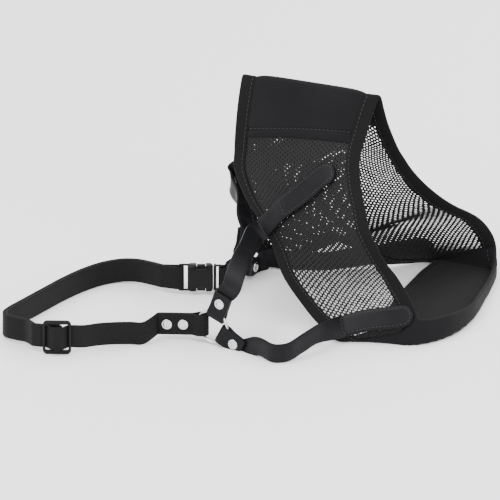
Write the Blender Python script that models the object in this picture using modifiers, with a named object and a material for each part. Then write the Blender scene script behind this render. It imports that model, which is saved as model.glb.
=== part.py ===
"""Soft mesh dog muzzle: sleeve, leather straps, O-rings, webbing neck strap, slider and buckle.

+X towards the nose, +Y the dog's left, +Z up; the muzzle lies on the plane z = 0.
Sizes below are in millimetres; meshes are written in metres.
"""
import math
import bpy
import numpy as np
from mathutils import Matrix

MM = 0.001
SIZE = 1.0                # overall size of the sewn sleeve and where the rings lie
GAP = 0.3                 # clearance between neighbouring pieces
MESH_T = 1.6              # mesh panel thickness
BIND_T = 2.2              # binding tape thickness, doubled round the edge
BIND_W = 10.0             # binding tape width
PAD_T = 3.0               # knit-faced foam over the ridge
LINING_T = 1.2            # lining under the ridge foam
BAND_T = 3.0              # chin band
LEATHER_T = 1.8
SEAM = 5.5                # seam line between mesh and binding, measured across the sleeve
LEATHER_W = 13.0          # leather strap at the ring
LEATHER_SEWN_W = 15.0     # leather strap at the sewn end
WEB_T = 1.4
WEB_W = 16.0
RING_OD = 24.4
RING_WIRE = 2.2
RIVET_CAP = 7.0
RIVET_SHANK = 3.0
SLIDER_W = 24.0
SLIDER_L = 19.0
SLIDER_T = 2.2
BUCKLE_W = 19.0
BUCKLE_T = 7.4
SOCKET_L = 26.0           # socket from its web slot to its mouth

# sewn sleeve: each station runs from the rear rim to the front rim round the loop,
# as (rear rim, front rim, outward fullness of the middle)
RIGHT = [
    ((96, 194, 142), (195, 194, 142), 0),
    ((96, 186.5, 127), (193.5, 187, 135.5), 1),
    ((96, 182, 110), (192, 178, 122), 2),
    ((96, 180, 95), (192.5, 164, 108), 3),
    ((97, 178, 80), (198, 152, 94), 4),
    ((107, 174, 62), (205, 143, 81), 4),
    ((121, 161, 55), (211, 137.5, 67), 4),
    ((135, 149, 45), (222, 135.5, 50), 4),
    ((150, 132, 30), (231, 134, 41), 3),
    ((170, 119, 16), (237, 132.5, 34), 2),
    ((185, 109, 9), (242, 131, 28), 1),
    ((199, 103.5, 2), (247, 127.5, 22), 0),
]
# chin stations: rear edge, base of the front lip, top of the front lip
CHIN = [
    ((209, 115, 0), (246, 117.5, 0), (252, 124, 17.5)),
    ((216.5, 134, 0), (258.5, 128, 0), (259, 131, 16.5)),
    ((213, 158, 0), (267, 147, 0), (266, 147, 15)),
    ((208.5, 186, 0), (268.5, 174, 0), (269, 172, 12)),
    ((207.5, 211, 0), (265, 199, 0), (265, 197, 10)),
    ((207, 235, 0), (260, 226, 0), (260.5, 225, 8.5)),
    ((208, 252, 0), (253, 252, 0), (255, 250, 9)),
]
LEFT = [
    ((204, 258.5, 0), (250.8, 263, 13), -1),
    ((190, 246, 1.5), (248.5, 264.5, 21), -1),
    ((177, 233, 5), (245, 262.5, 29), 0),
    ((163, 222, 18), (240.5, 259, 36), 0),
    ((149, 217, 23), (235, 255, 41), 1),
    ((134, 217, 17), (228, 249, 46.5), 2),
    ((119, 214, 4), (221, 243.5, 53), 3),
    ((105, 212, 3), (215, 236.5, 61.5), 3),
    ((95, 209, 17), (210, 229, 71), 3),
    ((89, 206, 40), (206, 222, 81), 3),
    ((88, 202.5, 68), (203, 217, 90), 2),
    ((92, 200, 95), (200.5, 211.5, 99.5), 2),
    ((95, 200, 115), (197.5, 203, 118), 1),
    ((96, 197.5, 130), (196, 198.5, 131), 1),
]
T_CHIN0 = len(RIGHT)
T_CHIN1 = len(RIGHT) + len(CHIN)
T_END = len(RIGHT) + len(CHIN) + len(LEFT)

# rings: centre, heading of the ring's plane in degrees, and each strap's pull angle in that plane
RIGHT_RING = (124.3, 70.5, 12.9)
RIGHT_HEADING = -8.0
LEFT_RING = (101.0, 177.0, 12.6)
WEB_HEADING = 12.0        # neck webbing where it leaves the right ring
WEB_DROP = 183.0          # its pull angle there: back and a little down
SLIDER_AT = (34.5, 16.0, 12.1)
SLIDER_HEADING = 20.0
BUCKLE_AT = (67.6, 142.5, 12.0)
BUCKLE_HEADING = 21.6
BUCKLE_L = 34.0
TURN = math.radians(BUCKLE_HEADING)
LEFT_HEADING = math.degrees(math.atan2(   # in line with the tail webbing, from the buckle's bar
    (LEFT_RING[1] - BUCKLE_AT[1]) * SIZE - math.sin(TURN) * (BUCKLE_L - 1.3),
    (LEFT_RING[0] - BUCKLE_AT[0]) * SIZE - math.cos(TURN) * (BUCKLE_L - 1.3),
))
HOME = (129.575, 138.554, 0)  # point of the layout below that becomes the origin: middle of the footprint


def collection(name):
    c = bpy.data.collections.new(name)
    bpy.context.scene.collection.children.link(c)
    return c


def material(name, colour, rough, metal=0.0):
    m = bpy.data.materials.get(name) or bpy.data.materials.new(name)
    m.use_nodes = True
    s = m.node_tree.nodes["Principled BSDF"]
    s.inputs["Base Color"].default_value = (*colour, 1)
    s.inputs["Roughness"].default_value = rough
    s.inputs["Metallic"].default_value = metal
    return m


def metres(verts):
    """Layout points in millimetres as points in metres about the origin."""
    home = np.array(HOME) * SIZE
    return [tuple(float(c) for c in (np.array(v) - home) * MM) for v in verts]


def add(name, verts, faces, mat, smooth=True):
    me = bpy.data.meshes.new(name)
    me.from_pydata(metres(verts), [], faces)
    me.materials.append(material(*mat))
    ob = bpy.data.objects.new(name, me)
    PIECES.objects.link(ob)
    if smooth:
        me.polygons.foreach_set("use_smooth", [True] * len(me.polygons))
    return ob


def pivot(ob, point):
    """Put a moving piece's origin on its joint."""
    at = Matrix.Translation(metres([point])[0])
    ob.data.transform(at.inverted())
    ob.matrix_world = at
    return ob


def unit(v):
    v = np.asarray(v, float)
    return v / np.maximum(np.linalg.norm(v, axis=-1, keepdims=True), 1e-12)


def spline(points, u):
    """Catmull-Rom through points at parameter u (0 to len-1)."""
    p = np.asarray(points, float)
    u = np.clip(np.asarray(u, float), 0, len(p) - 1)
    i = np.minimum(u.astype(int), len(p) - 2)
    f = (u - i).reshape(-1, *[1] * (p.ndim - 1))
    a, b = p[i], p[i + 1]
    before = np.where((i > 0).reshape(f.shape), p[np.maximum(i - 1, 0)], 2 * a - b)
    last = (i < len(p) - 2).reshape(f.shape)
    after = np.where(last, p[np.minimum(i + 2, len(p) - 1)], 2 * b - a)
    return 0.5 * (
        2 * a
        + (b - before) * f
        + (2 * before - 5 * a + 4 * b - after) * f**2
        + (3 * a - before - 3 * b + after) * f**3
    )


def resample(path, count):
    """Points spread evenly along a polyline, with its length."""
    step = np.linalg.norm(np.diff(path, axis=0), axis=1)
    s = np.concatenate([[0], np.cumsum(step)])
    at = np.linspace(0, s[-1], count)
    return np.stack([np.interp(at, s, path[:, k]) for k in range(path.shape[1])], 1), s[-1]


def stations():
    """Five control points from rear to front for each station of the closed loop."""
    middle = np.array([185.0, 190.0, 60.0])
    rows = []
    for rear, front, full in RIGHT:
        rows.append(panel_row(rear, front, full, middle))
    for rear, base, lip in CHIN:
        rear, base, lip = np.array(rear, float), np.array(base, float), np.array(lip, float)
        rows.append([rear, rear * 0.6 + base * 0.4, rear * 0.15 + base * 0.85, base + (0, 0, 1), lip])
    for rear, front, full in LEFT:
        rows.append(panel_row(rear, front, full, middle))
    return np.array(rows) * SIZE


def panel_row(rear, front, full, middle):
    rear, front = np.array(rear, float), np.array(front, float)
    out = (rear + front) / 2 - middle
    out = out - (front - rear) * (out @ (front - rear)) / ((front - rear) @ (front - rear))
    out = unit(out)
    row = []
    for f in (0, 0.25, 0.5, 0.75, 1):
        row.append(rear + (front - rear) * f + out * full * 4 * f * (1 - f))
    return row


class Sleeve:
    """Mid-surface of the sleeve: t goes round the loop, distances run across it."""

    def __init__(self):
        rows = stations()
        self.rows = np.concatenate([rows[-2:], rows, rows[:3]])
        self.low = BAND_T / 2

    def across(self, t, count=41):
        row = spline(self.rows, np.array([t % T_END + 2]))[0]
        line = spline(row, np.linspace(0, 4, 65))
        line[:, 2] = np.maximum(line[:, 2], self.low)
        return resample(line, count)

    def grid(self, ts, rear, front, count):
        """Points from `rear` mm inside the rear rim to `front` mm inside the front rim."""
        points, normals = [], []
        for t in ts:
            line, length = self.across(t)
            ahead = self.across(t + 0.04)[0]
            behind = self.across(t - 0.04)[0]
            a = rear if rear >= 0 else length + rear
            b = length - front if front >= 0 else -front
            at = np.linspace(a, b, count) / length * (len(line) - 1)
            along = np.gradient(line, axis=0)
            normal = unit(np.cross(ahead - behind, along))
            pick = np.arange(len(line))
            points.append(np.stack([np.interp(at, pick, line[:, k]) for k in range(3)], 1))
            normals.append(unit(np.stack([np.interp(at, pick, normal[:, k]) for k in range(3)], 1)))
        return np.array(points), np.array(normals)


def shell(name, points, normals, inner, outer, mat, floor=True):
    """Closed solid between two offsets of a grid of points."""
    m, n, _ = points.shape
    verts = []
    for off in (inner, outer):
        v = points + normals * off
        if floor and off > 0:
            v[..., 2] = np.maximum(v[..., 2], 0.0)
        verts.append(v.reshape(-1, 3))
    size = m * n
    faces = []
    for i in range(m - 1):
        for j in range(n - 1):
            a, b, c, d = i * n + j, i * n + j + 1, (i + 1) * n + j + 1, (i + 1) * n + j
            faces.append((a, b, c, d))
            faces.append((size + d, size + c, size + b, size + a))
    rim = [j for j in range(n)] + [i * n + n - 1 for i in range(1, m)]
    rim += [(m - 1) * n + j for j in range(n - 2, -1, -1)] + [i * n for i in range(m - 2, 0, -1)]
    for a, b in zip(rim, rim[1:] + rim[:1]):
        faces.append((b, a, size + a, size + b))
    return add(name, np.concatenate(verts), faces, mat)


KNIT = ("black knit", (0.02, 0.02, 0.02), 0.9)
MESH = ("black mesh", (0.03, 0.03, 0.03), 0.85)
TAPE = ("black binding", (0.015, 0.015, 0.015), 0.9)
LEATHER = ("black leather", (0.03, 0.03, 0.035), 0.45)
WEBBING = ("black webbing", (0.012, 0.012, 0.012), 0.8)
STEEL = ("plated steel", (0.75, 0.75, 0.75), 0.2, 1.0)
PLASTIC = ("black plastic", (0.02, 0.02, 0.02), 0.35)


def steps(t0, t1):
    """Half stations between two ends, so that neighbouring pieces bend at the same places."""
    return np.array([t0, *[t for t in np.arange(0, 2 * T_END, 0.5) if t0 + 0.1 < t < t1 - 0.1], t1])


def build_sleeve(sleeve):
    tr0, tr1 = 3.0, T_CHIN0 - 0.62          # right mesh from under the pad to the chin band
    tl0, tl1 = T_CHIN1 + 0.5, T_END - 2.1
    step = 0.03
    band = 0.5 * BIND_T
    make = [
        ("right_mesh_panel", steps(tr0 + step, tr1)),
        ("left_mesh_panel", steps(tl0, tl1 - step)),
    ]
    for name, ts in make:
        p, n = sleeve.grid(ts, BIND_W + SEAM, BIND_W + SEAM, 7)
        shell(name, p, n, -MESH_T / 2, MESH_T / 2, MESH)
    ts = steps(tl1 + step, T_END + tr0 - step)
    p, n = sleeve.grid(ts, BIND_W + GAP, BIND_W + GAP, 6)
    shell("nose_pad", p, n, GAP / 2, GAP / 2 + PAD_T, KNIT)
    shell("nose_pad_lining", p, n, -GAP / 2 - LINING_T, -GAP / 2, KNIT)
    ts = steps(tl0, T_END + tr1)
    p, n = sleeve.grid(ts, 0, -BIND_W, 2)
    shell("rear_binding", p, n, -band, band, TAPE)
    p, n = sleeve.grid(ts, -BIND_W, 0, 2)
    shell("front_binding", p, n, -band, band, TAPE)
    ts = steps(tr1 + 0.1, T_CHIN1 + 0.4)
    p, n = sleeve.grid(ts, 0, 0, 11)
    shell("chin_band", p, n, -BAND_T / 2, BAND_T / 2, KNIT)


def frame_of(heading, angle):
    """Pull direction, width direction and face normal of a strap leaving a ring."""
    h, a = math.radians(heading), math.radians(angle)
    flat = np.array([math.cos(h), math.sin(h), 0])
    up = np.array([0, 0, 1.0])
    pull = flat * math.cos(a) + up * math.sin(a)
    width = -flat * math.sin(a) + up * math.cos(a)
    return pull, width, np.cross(pull, width)


def ring_fold(ring, heading, angle, side, thick, room, tip, lap):
    """Path of a strap's folded end round a ring: free end, turn, and back out to `lap`.

    side +1 puts the free end on the face normal's side. Returns points and width directions.
    """
    pull, width, normal = frame_of(heading, angle)
    near = thick / 2 + GAP / 2
    far = room / 2 + thick / 2
    neck = RING_OD / 2 + 1.8
    prof = [(lap, near), (neck + 1.6, near), (neck - 0.6, near + (far - near) * 0.3)]
    prof += [(neck - 2.6, far - (far - near) * 0.15), (RING_OD / 2 - 1.2, far)]
    for k in range(7):
        a = math.pi / 2 + math.pi * k / 6
        prof.append((tip + far + thick / 2 + far * math.cos(a) - thick / 2, far * math.sin(a)))
    prof += [(RING_OD / 2 - 1.2, -far), (neck - 2.6, -far + (far - near) * 0.15)]
    prof += [(neck - 0.6, -near - (far - near) * 0.3), (neck + 1.6, -near), (lap, -near)]
    centre = np.array(ring) * (SIZE, SIZE, 1)
    pts = [centre + pull * x + normal * y * side for x, y in prof]
    return pts, [width] * len(pts)


def ribbon(name, pts, wides, widths, thick, mat, flat=None):
    """Closed strip of rectangular section along points; flat gives face normals if known."""
    pts, wides = np.array(pts, float), unit(np.array(wides, float))
    along = unit(np.gradient(pts, axis=0))
    wides = unit(wides - along * (wides * along).sum(1, keepdims=True))
    face = np.cross(along, wides)
    half = np.array(widths, float).reshape(-1, 1) / 2
    verts = []
    for w, f in ((-1, -1), (1, -1), (1, 1), (-1, 1)):
        verts.append(pts + wides * half * w + face * thick / 2 * f)
    verts = np.stack(verts, 1).reshape(-1, 3)
    verts[:, 2] = np.maximum(verts[:, 2], 0)
    faces = [(3, 2, 1, 0)]
    count = len(pts)
    for i in range(count - 1):
        for k in range(4):
            a, b = 4 * i + k, 4 * i + (k + 1) % 4
            faces.append((a, b, b + 4, a + 4))
    faces.append(tuple(4 * (count - 1) + k for k in range(4)))
    return add(name, verts, faces, mat)


def lathe(name, profile, centre, axis, mat, sides=20):
    """Solid of revolution: profile of (radius, height) from axis to axis."""
    axis = unit(axis)
    side = unit(np.cross(axis, (0.3, 0.2, 1.0) if abs(axis[2]) < 0.9 else (1.0, 0, 0)))
    other = np.cross(axis, side)
    verts, faces, rows = [], [], []
    for r, h in profile:
        if r == 0:
            rows.append([len(verts)] * sides)
            verts.append(np.array(centre) + axis * h)
            continue
        rows.append(list(range(len(verts), len(verts) + sides)))
        for k in range(sides):
            a = 2 * math.pi * k / sides
            verts.append(np.array(centre) + axis * h + r * (side * math.cos(a) + other * math.sin(a)))
    for low, high in zip(rows, rows[1:]):
        for k in range(sides):
            j = (k + 1) % sides
            loop = (low[k], low[j], high[j], high[k])
            loop = [v for i, v in enumerate(loop) if v not in loop[:i]]
            if len(loop) > 2:
                faces.append(loop)
    return verts, faces


def rivet(name, spots):
    """Domed cap, shank and turned back through a strap, at each (centre, axis, stack)."""
    verts, faces = [], []
    for centre, axis, stack in spots:
        h = stack / 2 + GAP / 2
        cap, shank = RIVET_CAP / 2, RIVET_SHANK / 2
        prof = [(0, -h - 1.0), (cap * 0.55, -h - 1.0), (cap, -h - 0.5), (cap, -h), (shank, -h)]
        prof += [(shank, h), (cap, h), (cap, h + 0.35), (cap * 0.8, h + 0.85)]
        prof += [(cap * 0.45, h + 1.15), (0, h + 1.25)]
        v, f = lathe(name, prof, centre, axis, STEEL)
        faces += [[i + len(verts) for i in loop] for loop in f]
        verts += v
    return add(name, verts, faces, STEEL)


def drill(ob, spots):
    """Round holes for rivet shanks."""
    for i, (centre, axis, stack) in enumerate(spots):
        r = RIVET_SHANK / 2 + GAP
        v, f = lathe("", [(0, -6), (r, -6), (r, 6), (0, 6)], centre, axis, STEEL, 16)
        me = bpy.data.meshes.new(f"{ob.name}_hole_{i}")
        me.from_pydata(metres(v), [], f)
        tool = bpy.data.objects.new(me.name, me)
        CUTTERS.objects.link(tool)
        tool.hide_render = True
        tool.display_type = "WIRE"
        cut = ob.modifiers.new("hole", "BOOLEAN")
        cut.object = tool
        cut.operation = "DIFFERENCE"
        cut.solver = "EXACT"


def ring(name, centre, heading):
    """Round wire ring standing in a vertical plane."""
    h = math.radians(heading)
    flat = np.array([math.cos(h), math.sin(h), 0])
    up = np.array([0, 0, 1.0])
    out = np.cross(flat, up)
    major, minor = (RING_OD - RING_WIRE) / 2, RING_WIRE / 2
    verts, faces = [], []
    around, section = 48, 10
    c = np.array(centre) * (SIZE, SIZE, 1)
    for i in range(around):
        a = 2 * math.pi * i / around
        r = flat * math.cos(a) + up * math.sin(a)
        for k in range(section):
            b = 2 * math.pi * k / section
            verts.append(c + r * (major + minor * math.cos(b)) + out * minor * math.sin(b))
    for i in range(around):
        for k in range(section):
            j, m = (i + 1) % around, (k + 1) % section
            faces.append((i * section + k, j * section + k, j * section + m, i * section + m))
    return pivot(add(name, verts, faces, STEEL), c)


def drape(samples, point, off):
    """Point carried onto the sleeve's outer face, `off` mm above the mid-surface."""
    p, n = samples
    i = ((p - point) ** 2).sum(1).argmin()
    return point - n[i] * ((point - p[i]) @ n[i]) + n[i] * off, n[i]


def dense(sleeve, t0, t1):
    p, n = sleeve.grid(np.linspace(t0, t1, 160), 0.5, 0.5, 60)
    return p.reshape(-1, 3), n.reshape(-1, 3)


def leather(name, sleeve, ring_at, heading, angle, side, free, on_panel, t_range, lap=26.0):
    """Leather strap from a ring, through free points (point, width direction), onto the panel."""
    samples = dense(sleeve, *t_range)
    fold, wides = ring_fold(ring_at, heading, angle, side, LEATHER_T, RING_WIRE + 0.7, 6.5, lap)
    widths = [LEATHER_W] * len(fold)
    off = BIND_T / 2 + GAP + LEATHER_T / 2 + 0.15
    landed, normals = [], []
    for point in resample(np.array(on_panel, float) * SIZE, 11)[0]:
        q, n = drape(samples, point, off)
        landed.append(q)
        normals.append(n)
    landed, normals = np.array(landed), unit(np.array(normals))
    run = unit(np.gradient(landed, axis=0))
    across = unit(np.cross(normals, run))
    if across[0] @ np.array(free[-1][1]) < 0:
        across = -across
    for i, (q, n, a) in enumerate(zip(landed.copy(), normals, across)):
        one = drape(samples, q + a * LEATHER_SEWN_W / 2, off)[0]
        two = drape(samples, q - a * LEATHER_SEWN_W / 2, off)[0]
        middle = (one + two) / 2
        landed[i] = middle + n * max(0.0, (q - middle) @ n)
        across[i] = unit(one - two)
    pts = [p for p in fold[-1:]] + [np.array(p) * SIZE for p, w in free] + [landed[0]]
    dirs = [wides[-1]] + [unit(w) for p, w in free] + [across[0]]
    u = np.linspace(0, len(pts) - 1, 5 * (len(pts) - 1) + 1)
    mid, mid_w = spline(pts, u), unit(spline(dirs, u))
    grow = np.linspace(LEATHER_W, LEATHER_SEWN_W, len(u))
    share = np.concatenate([np.linspace(0, 0.86, 11), [0.9, 0.94, 0.97, 0.985, 1]])
    fine = resample(landed, 101)[0]
    line = fine[np.round(share * 100).astype(int)]
    pick = share * (len(landed) - 1)
    line_w = unit(np.stack([np.interp(pick, np.arange(len(landed)), across[:, k]) for k in range(3)], 1))
    step = np.concatenate([[0], np.cumsum(np.linalg.norm(np.diff(line, axis=0), axis=1))])
    left = step[-1] - step
    r = LEATHER_SEWN_W / 2
    end = [2 * math.sqrt(max(r * r - max(r - d, 0) ** 2, 1.5)) for d in left]
    all_pts = np.concatenate([fold, mid[1:-1], line])
    all_w = np.concatenate([wides, mid_w[1:-1], line_w])
    all_d = np.concatenate([widths, grow[1:-1], end])
    ob = ribbon(name, all_pts, all_w, all_d, LEATHER_T, LEATHER)
    pull, width, normal = frame_of(heading, angle)
    at = np.array(ring_at) * (SIZE, SIZE, 1) + pull * (RING_OD / 2 + 6.8)
    spots = [(at, normal * side * -1, 2 * LEATHER_T + GAP)]
    drill(ob, spots)
    return spots


def build_straps(sleeve):
    up = (0, 0, 1)
    spots = leather(
        "right_lower_strap", sleeve, RIGHT_RING, RIGHT_HEADING, -27.8, 1,
        [((160, 62.5, 7.2), up), ((172, 56.3, 7.0), up), ((178, 56.6, 7.0), up),
         ((183.5, 62, 7.4), up), ((188, 74, 9.5), up), ((194, 88, 12), up)],
        [(204, 103, 15), (216, 111, 16), (232, 119, 17), (247, 125.5, 19)], (7.5, 13.2))
    rivet("right_lower_rivet", spots)
    spots = leather(
        "right_upper_strap", sleeve, RIGHT_RING, RIGHT_HEADING, 70.4, 1,
        [((137, 71.5, 41), (-0.93, 0.05, 0.36)), ((135.5, 83, 46), (-0.92, -0.12, 0.35)),
         ((131, 105, 49), (-0.92, -0.15, 0.36)), ((127, 129, 49), (-0.85, -0.1, 0.5)),
         ((124, 146, 50), (-0.75, 0, 0.65))],
        [(127, 155, 51), (142, 158, 68), (157, 160, 81), (170, 161, 93), (177, 161, 99)], (3.1, 9.0))
    rivet("right_upper_rivet", spots)
    spots = leather(
        "left_lower_strap", sleeve, LEFT_RING, LEFT_HEADING, -22.8, -1,
        [((109, 205.5, 7.6), up), ((120, 208.5, 7.3), up), ((133, 211.5, 7.2), up),
         ((147, 216.5, 7.4), up), ((160, 225.5, 8.2), up)],
        [(174, 236.5, 11), (186, 245, 14), (197, 253.5, 17), (206, 260, 18)],
        (T_CHIN1 - 0.5, T_CHIN1 + 3.2), 26.0)
    rivet("left_lower_rivet", spots)
    spots = leather(
        "left_upper_strap", sleeve, LEFT_RING, LEFT_HEADING, 75.5, -1,
        [((98, 187, 47), (-0.5, -0.5, 0.6)), ((89.5, 193, 56), (-0.1, -0.1, 1)),
         ((82.6, 198.5, 62), up), ((83.4, 205, 66), up)],
        [(93.5, 208, 72), (118, 213, 84), (140, 216, 96), (156, 215, 105), (165, 212, 109)],
        (T_END - 7.0, T_END - 2.3), 26.0)
    rivet("left_upper_rivet", spots)


def local(at, heading):
    """Axis along a fitting, its width direction (up) and its face normal."""
    h = math.radians(heading)
    along = np.array([math.cos(h), math.sin(h), 0])
    return np.array(at) * (SIZE, SIZE, 1), along, np.array([-math.sin(h), math.cos(h), 0])


def build_neck_webbing():
    """One strip: sewn round the slider bar, round the neck, round the socket bar and back."""
    up = (0, 0, 1)
    s, s_x, s_n = local(SLIDER_AT, SLIDER_HEADING)
    o, o_x, o_n = local(BUCKLE_AT, BUCKLE_HEADING)
    layer = WEB_T / 2 + GAP
    near = SLIDER_T / 2 + layer
    far = near + WEB_T + GAP
    # middle line between the two layers, slider to buckle
    mid = [(18, 15.5, 11.7), (10.5, 22, 10.8), (1, 24.5, 10.2), (-6, 27, 9.9), (-9.8, 33, 9.6),
           (-9.6, 42, 9.3), (-7.5, 54, 8.9), (-4, 72, 8.4), (-0.5, 88, 8.2), (3, 103, 8.2),
           (9, 122, 8.2), (17, 138, 8.3), (27, 147.3, 8.8), (38, 149.5, 9.6), (50, 145.5, 11),
           (59, 142, 11.8)]
    mid = np.array(mid) * (SIZE, SIZE, 1)
    line = spline(mid, np.linspace(0, len(mid) - 1, 46))
    along = unit(np.gradient(line, axis=0))
    inside = unit(np.cross(along, up))
    half = (WEB_T + GAP) / 2
    outer, inner = line - inside * half, line + inside * half
    bar = 3.8
    turn = [o + o_x * (bar + 2.3 * math.cos(a)) - o_n * 2.3 * math.sin(a)
            for a in np.linspace(-math.pi / 2, math.pi / 2, 7)]
    sewn = [s + s_x * x + s_n * y for x, y in
            ((-3.6, -near), (0.4, -near), (1.7, -near), (2.6, -1.4), (2.95, -0.5),
             (2.95, 0.5), (2.6, 1.4), (1.7, near), (0.4, near), (-2.5, near + 0.1),
             (-5.0, near + 0.8), (-7.6, far), (-10.6, far))]
    weave = [s + s_x * x + s_n * y for x, y in
             ((-10.6, near), (-8.2, near), (-7.2, near - 0.2), (-6.4, near - 1.1),
              (-3.3, 0.9 - far), (-2.5, 0.2 - far), (-1.6, -far), (1.6, -far),
              (2.5, 0.2 - far), (3.3, 0.9 - far), (6.4, near - 1.1), (7.2, near - 0.2),
              (8.2, near), (10.6, near))]
    run = [(50, 26, 11.3), (57, 35.5, 10.2), (65, 43, 9.3), (74, 49, 8.6), (82, 53, 8.4)]
    run = [np.array(p) * (SIZE, SIZE, 1) for p in run]
    # the webbing swings on the wire, so its fold is set out from the wire and not the ring's centre
    wire = (RING_OD - RING_WIRE) / 2
    swing = frame_of(RIGHT_HEADING, 180)[0] * wire - frame_of(WEB_HEADING, 180)[0] * wire
    centre = np.array(RIGHT_RING) * (SIZE, SIZE, 1) + swing
    fold, wides = ring_fold(centre / (SIZE, SIZE, 1), WEB_HEADING, WEB_DROP, 1, WEB_T, RING_WIRE + 3.1, 4.3, 38.0)
    fold = fold[::-1]
    link = [weave[-1]] + run + [fold[0]]
    link = list(spline(link, np.linspace(0, len(link) - 1, 16)))[1:-1]
    # a strip that reaches the inner layer first: slider, left turn, buckle, then the outer layer
    path = sewn + list(inner) + turn[::-1] + list(outer[::-1]) + weave + link + fold
    widths = [WEB_W] * (len(path) - len(fold)) + [WEB_W - 1.0] * len(fold)   # pinched at the ring
    ob = ribbon("neck_webbing", path, [up] * len(path), widths, WEB_T, WEBBING)
    pull, width, normal = frame_of(WEB_HEADING, WEB_DROP)
    spots = [(centre + pull * d, normal * -1, 2 * WEB_T + GAP) for d in (21.0, 32.0)]
    drill(ob, spots)
    for spot, which in zip(spots, ("front", "back")):
        rivet(f"neck_webbing_rivet_{which}", [spot])


def build_tail_webbing():
    """Short band through the plug's bar and round the left ring, sewn together between."""
    o, o_x, o_n = local(BUCKLE_AT, BUCKLE_HEADING)
    bar = o + o_x * (BUCKLE_L - 1.3)
    end = np.array(LEFT_RING) * (SIZE, SIZE, 1)
    ahead = unit((end - bar) * (1, 1, 0))
    side = np.cross(ahead, (0, 0, 1))
    length = np.linalg.norm((end - bar)[:2])
    r0, r1 = 2.5, (RING_WIRE + 1.0 + WEB_T) / 2
    near = (WEB_T + GAP) / 2
    stop = length - (RING_OD / 2 - RING_WIRE - 4.0) - r1
    flare = length - RING_OD / 2 - RING_WIRE
    prof = []
    for k in range(7):
        a = math.pi / 2 + math.pi * k / 6
        prof.append((r0 * math.cos(a), r0 * math.sin(a)))
    prof += [(2.2, -r0 * 0.85), (4.6, -near), (flare - 2.2, -near), (flare, -r1 * 0.97)]
    for k in range(7):
        a = -math.pi / 2 + math.pi * k / 6
        prof.append((stop + r1 * math.cos(a), r1 * math.sin(a)))
    prof += [(flare, r1 * 0.97), (flare - 2.2, near), (4.6, near), (2.2, r0 * 0.85)]
    base = np.array([bar[0], bar[1], 0])
    pts = np.array([base + ahead * x + side * y for x, y in prof])
    lift = np.interp([p[0] for p in prof], [0, length], [BUCKLE_AT[2], LEFT_RING[2]])
    pts[:, 2] = lift
    along = unit(np.roll(pts, -1, 0) - np.roll(pts, 1, 0))
    face = unit(np.cross(along, (0, 0, 1)))
    verts, faces = [], []
    for p, f in zip(pts, face):
        for w, t in ((-1, -1), (1, -1), (1, 1), (-1, 1)):
            verts.append(p + np.array([0, 0, w * (WEB_W - 1.5) / 2]) + f * t * WEB_T / 2)
    n = len(pts)
    for i in range(n):
        for k in range(4):
            j, m = (i + 1) % n, (k + 1) % 4
            faces.append((4 * i + k, 4 * i + m, 4 * j + m, 4 * j + k))
    add("tail_webbing", verts, faces, WEBBING)


def block(frame, x, y, z):
    """Box between ranges along a fitting (x), across its face (y) and up its width (z)."""
    o, ax, an = frame
    up = np.array([0, 0, 1.0])
    return [o + ax * i + an * j + up * k for i in x for j in y for k in z]


BOX_FACES = [(0, 1, 3, 2), (4, 6, 7, 5), (0, 4, 5, 1), (2, 3, 7, 6), (0, 2, 6, 4), (1, 5, 7, 3)]


def cut(ob, verts, faces, operation="DIFFERENCE"):
    me = bpy.data.meshes.new(f"{ob.name}_tool_{len(ob.modifiers)}")
    me.from_pydata(metres(verts), [], faces)
    tool = bpy.data.objects.new(me.name, me)
    CUTTERS.objects.link(tool)
    tool.hide_render = True
    tool.display_type = "WIRE"
    mod = ob.modifiers.new("cut", "BOOLEAN")
    mod.object = tool
    mod.operation = operation
    mod.solver = "EXACT"


def bevel(ob, width):
    mod = ob.modifiers.new("bevel", "BEVEL")
    mod.width = width * MM
    mod.segments = 2
    mod.limit_method = "ANGLE"


def build_slider():
    frame = local(SLIDER_AT, SLIDER_HEADING)
    t, half, tall = SLIDER_T / 2, SLIDER_L / 2, SLIDER_W / 2
    ob = add("slider_frame", block(frame, (-half, half), (-t, t), (-tall, tall)), BOX_FACES, PLASTIC, False)
    pivot(ob, frame[0])
    bevel(ob, 0.8)
    slot = WEB_W / 2 + 1.2
    for x in ((-half + 1.8, -1.2), (1.2, half - 1.8)):
        cut(ob, block(frame, x, (-5, 5), (-slot, slot)), BOX_FACES)


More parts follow.
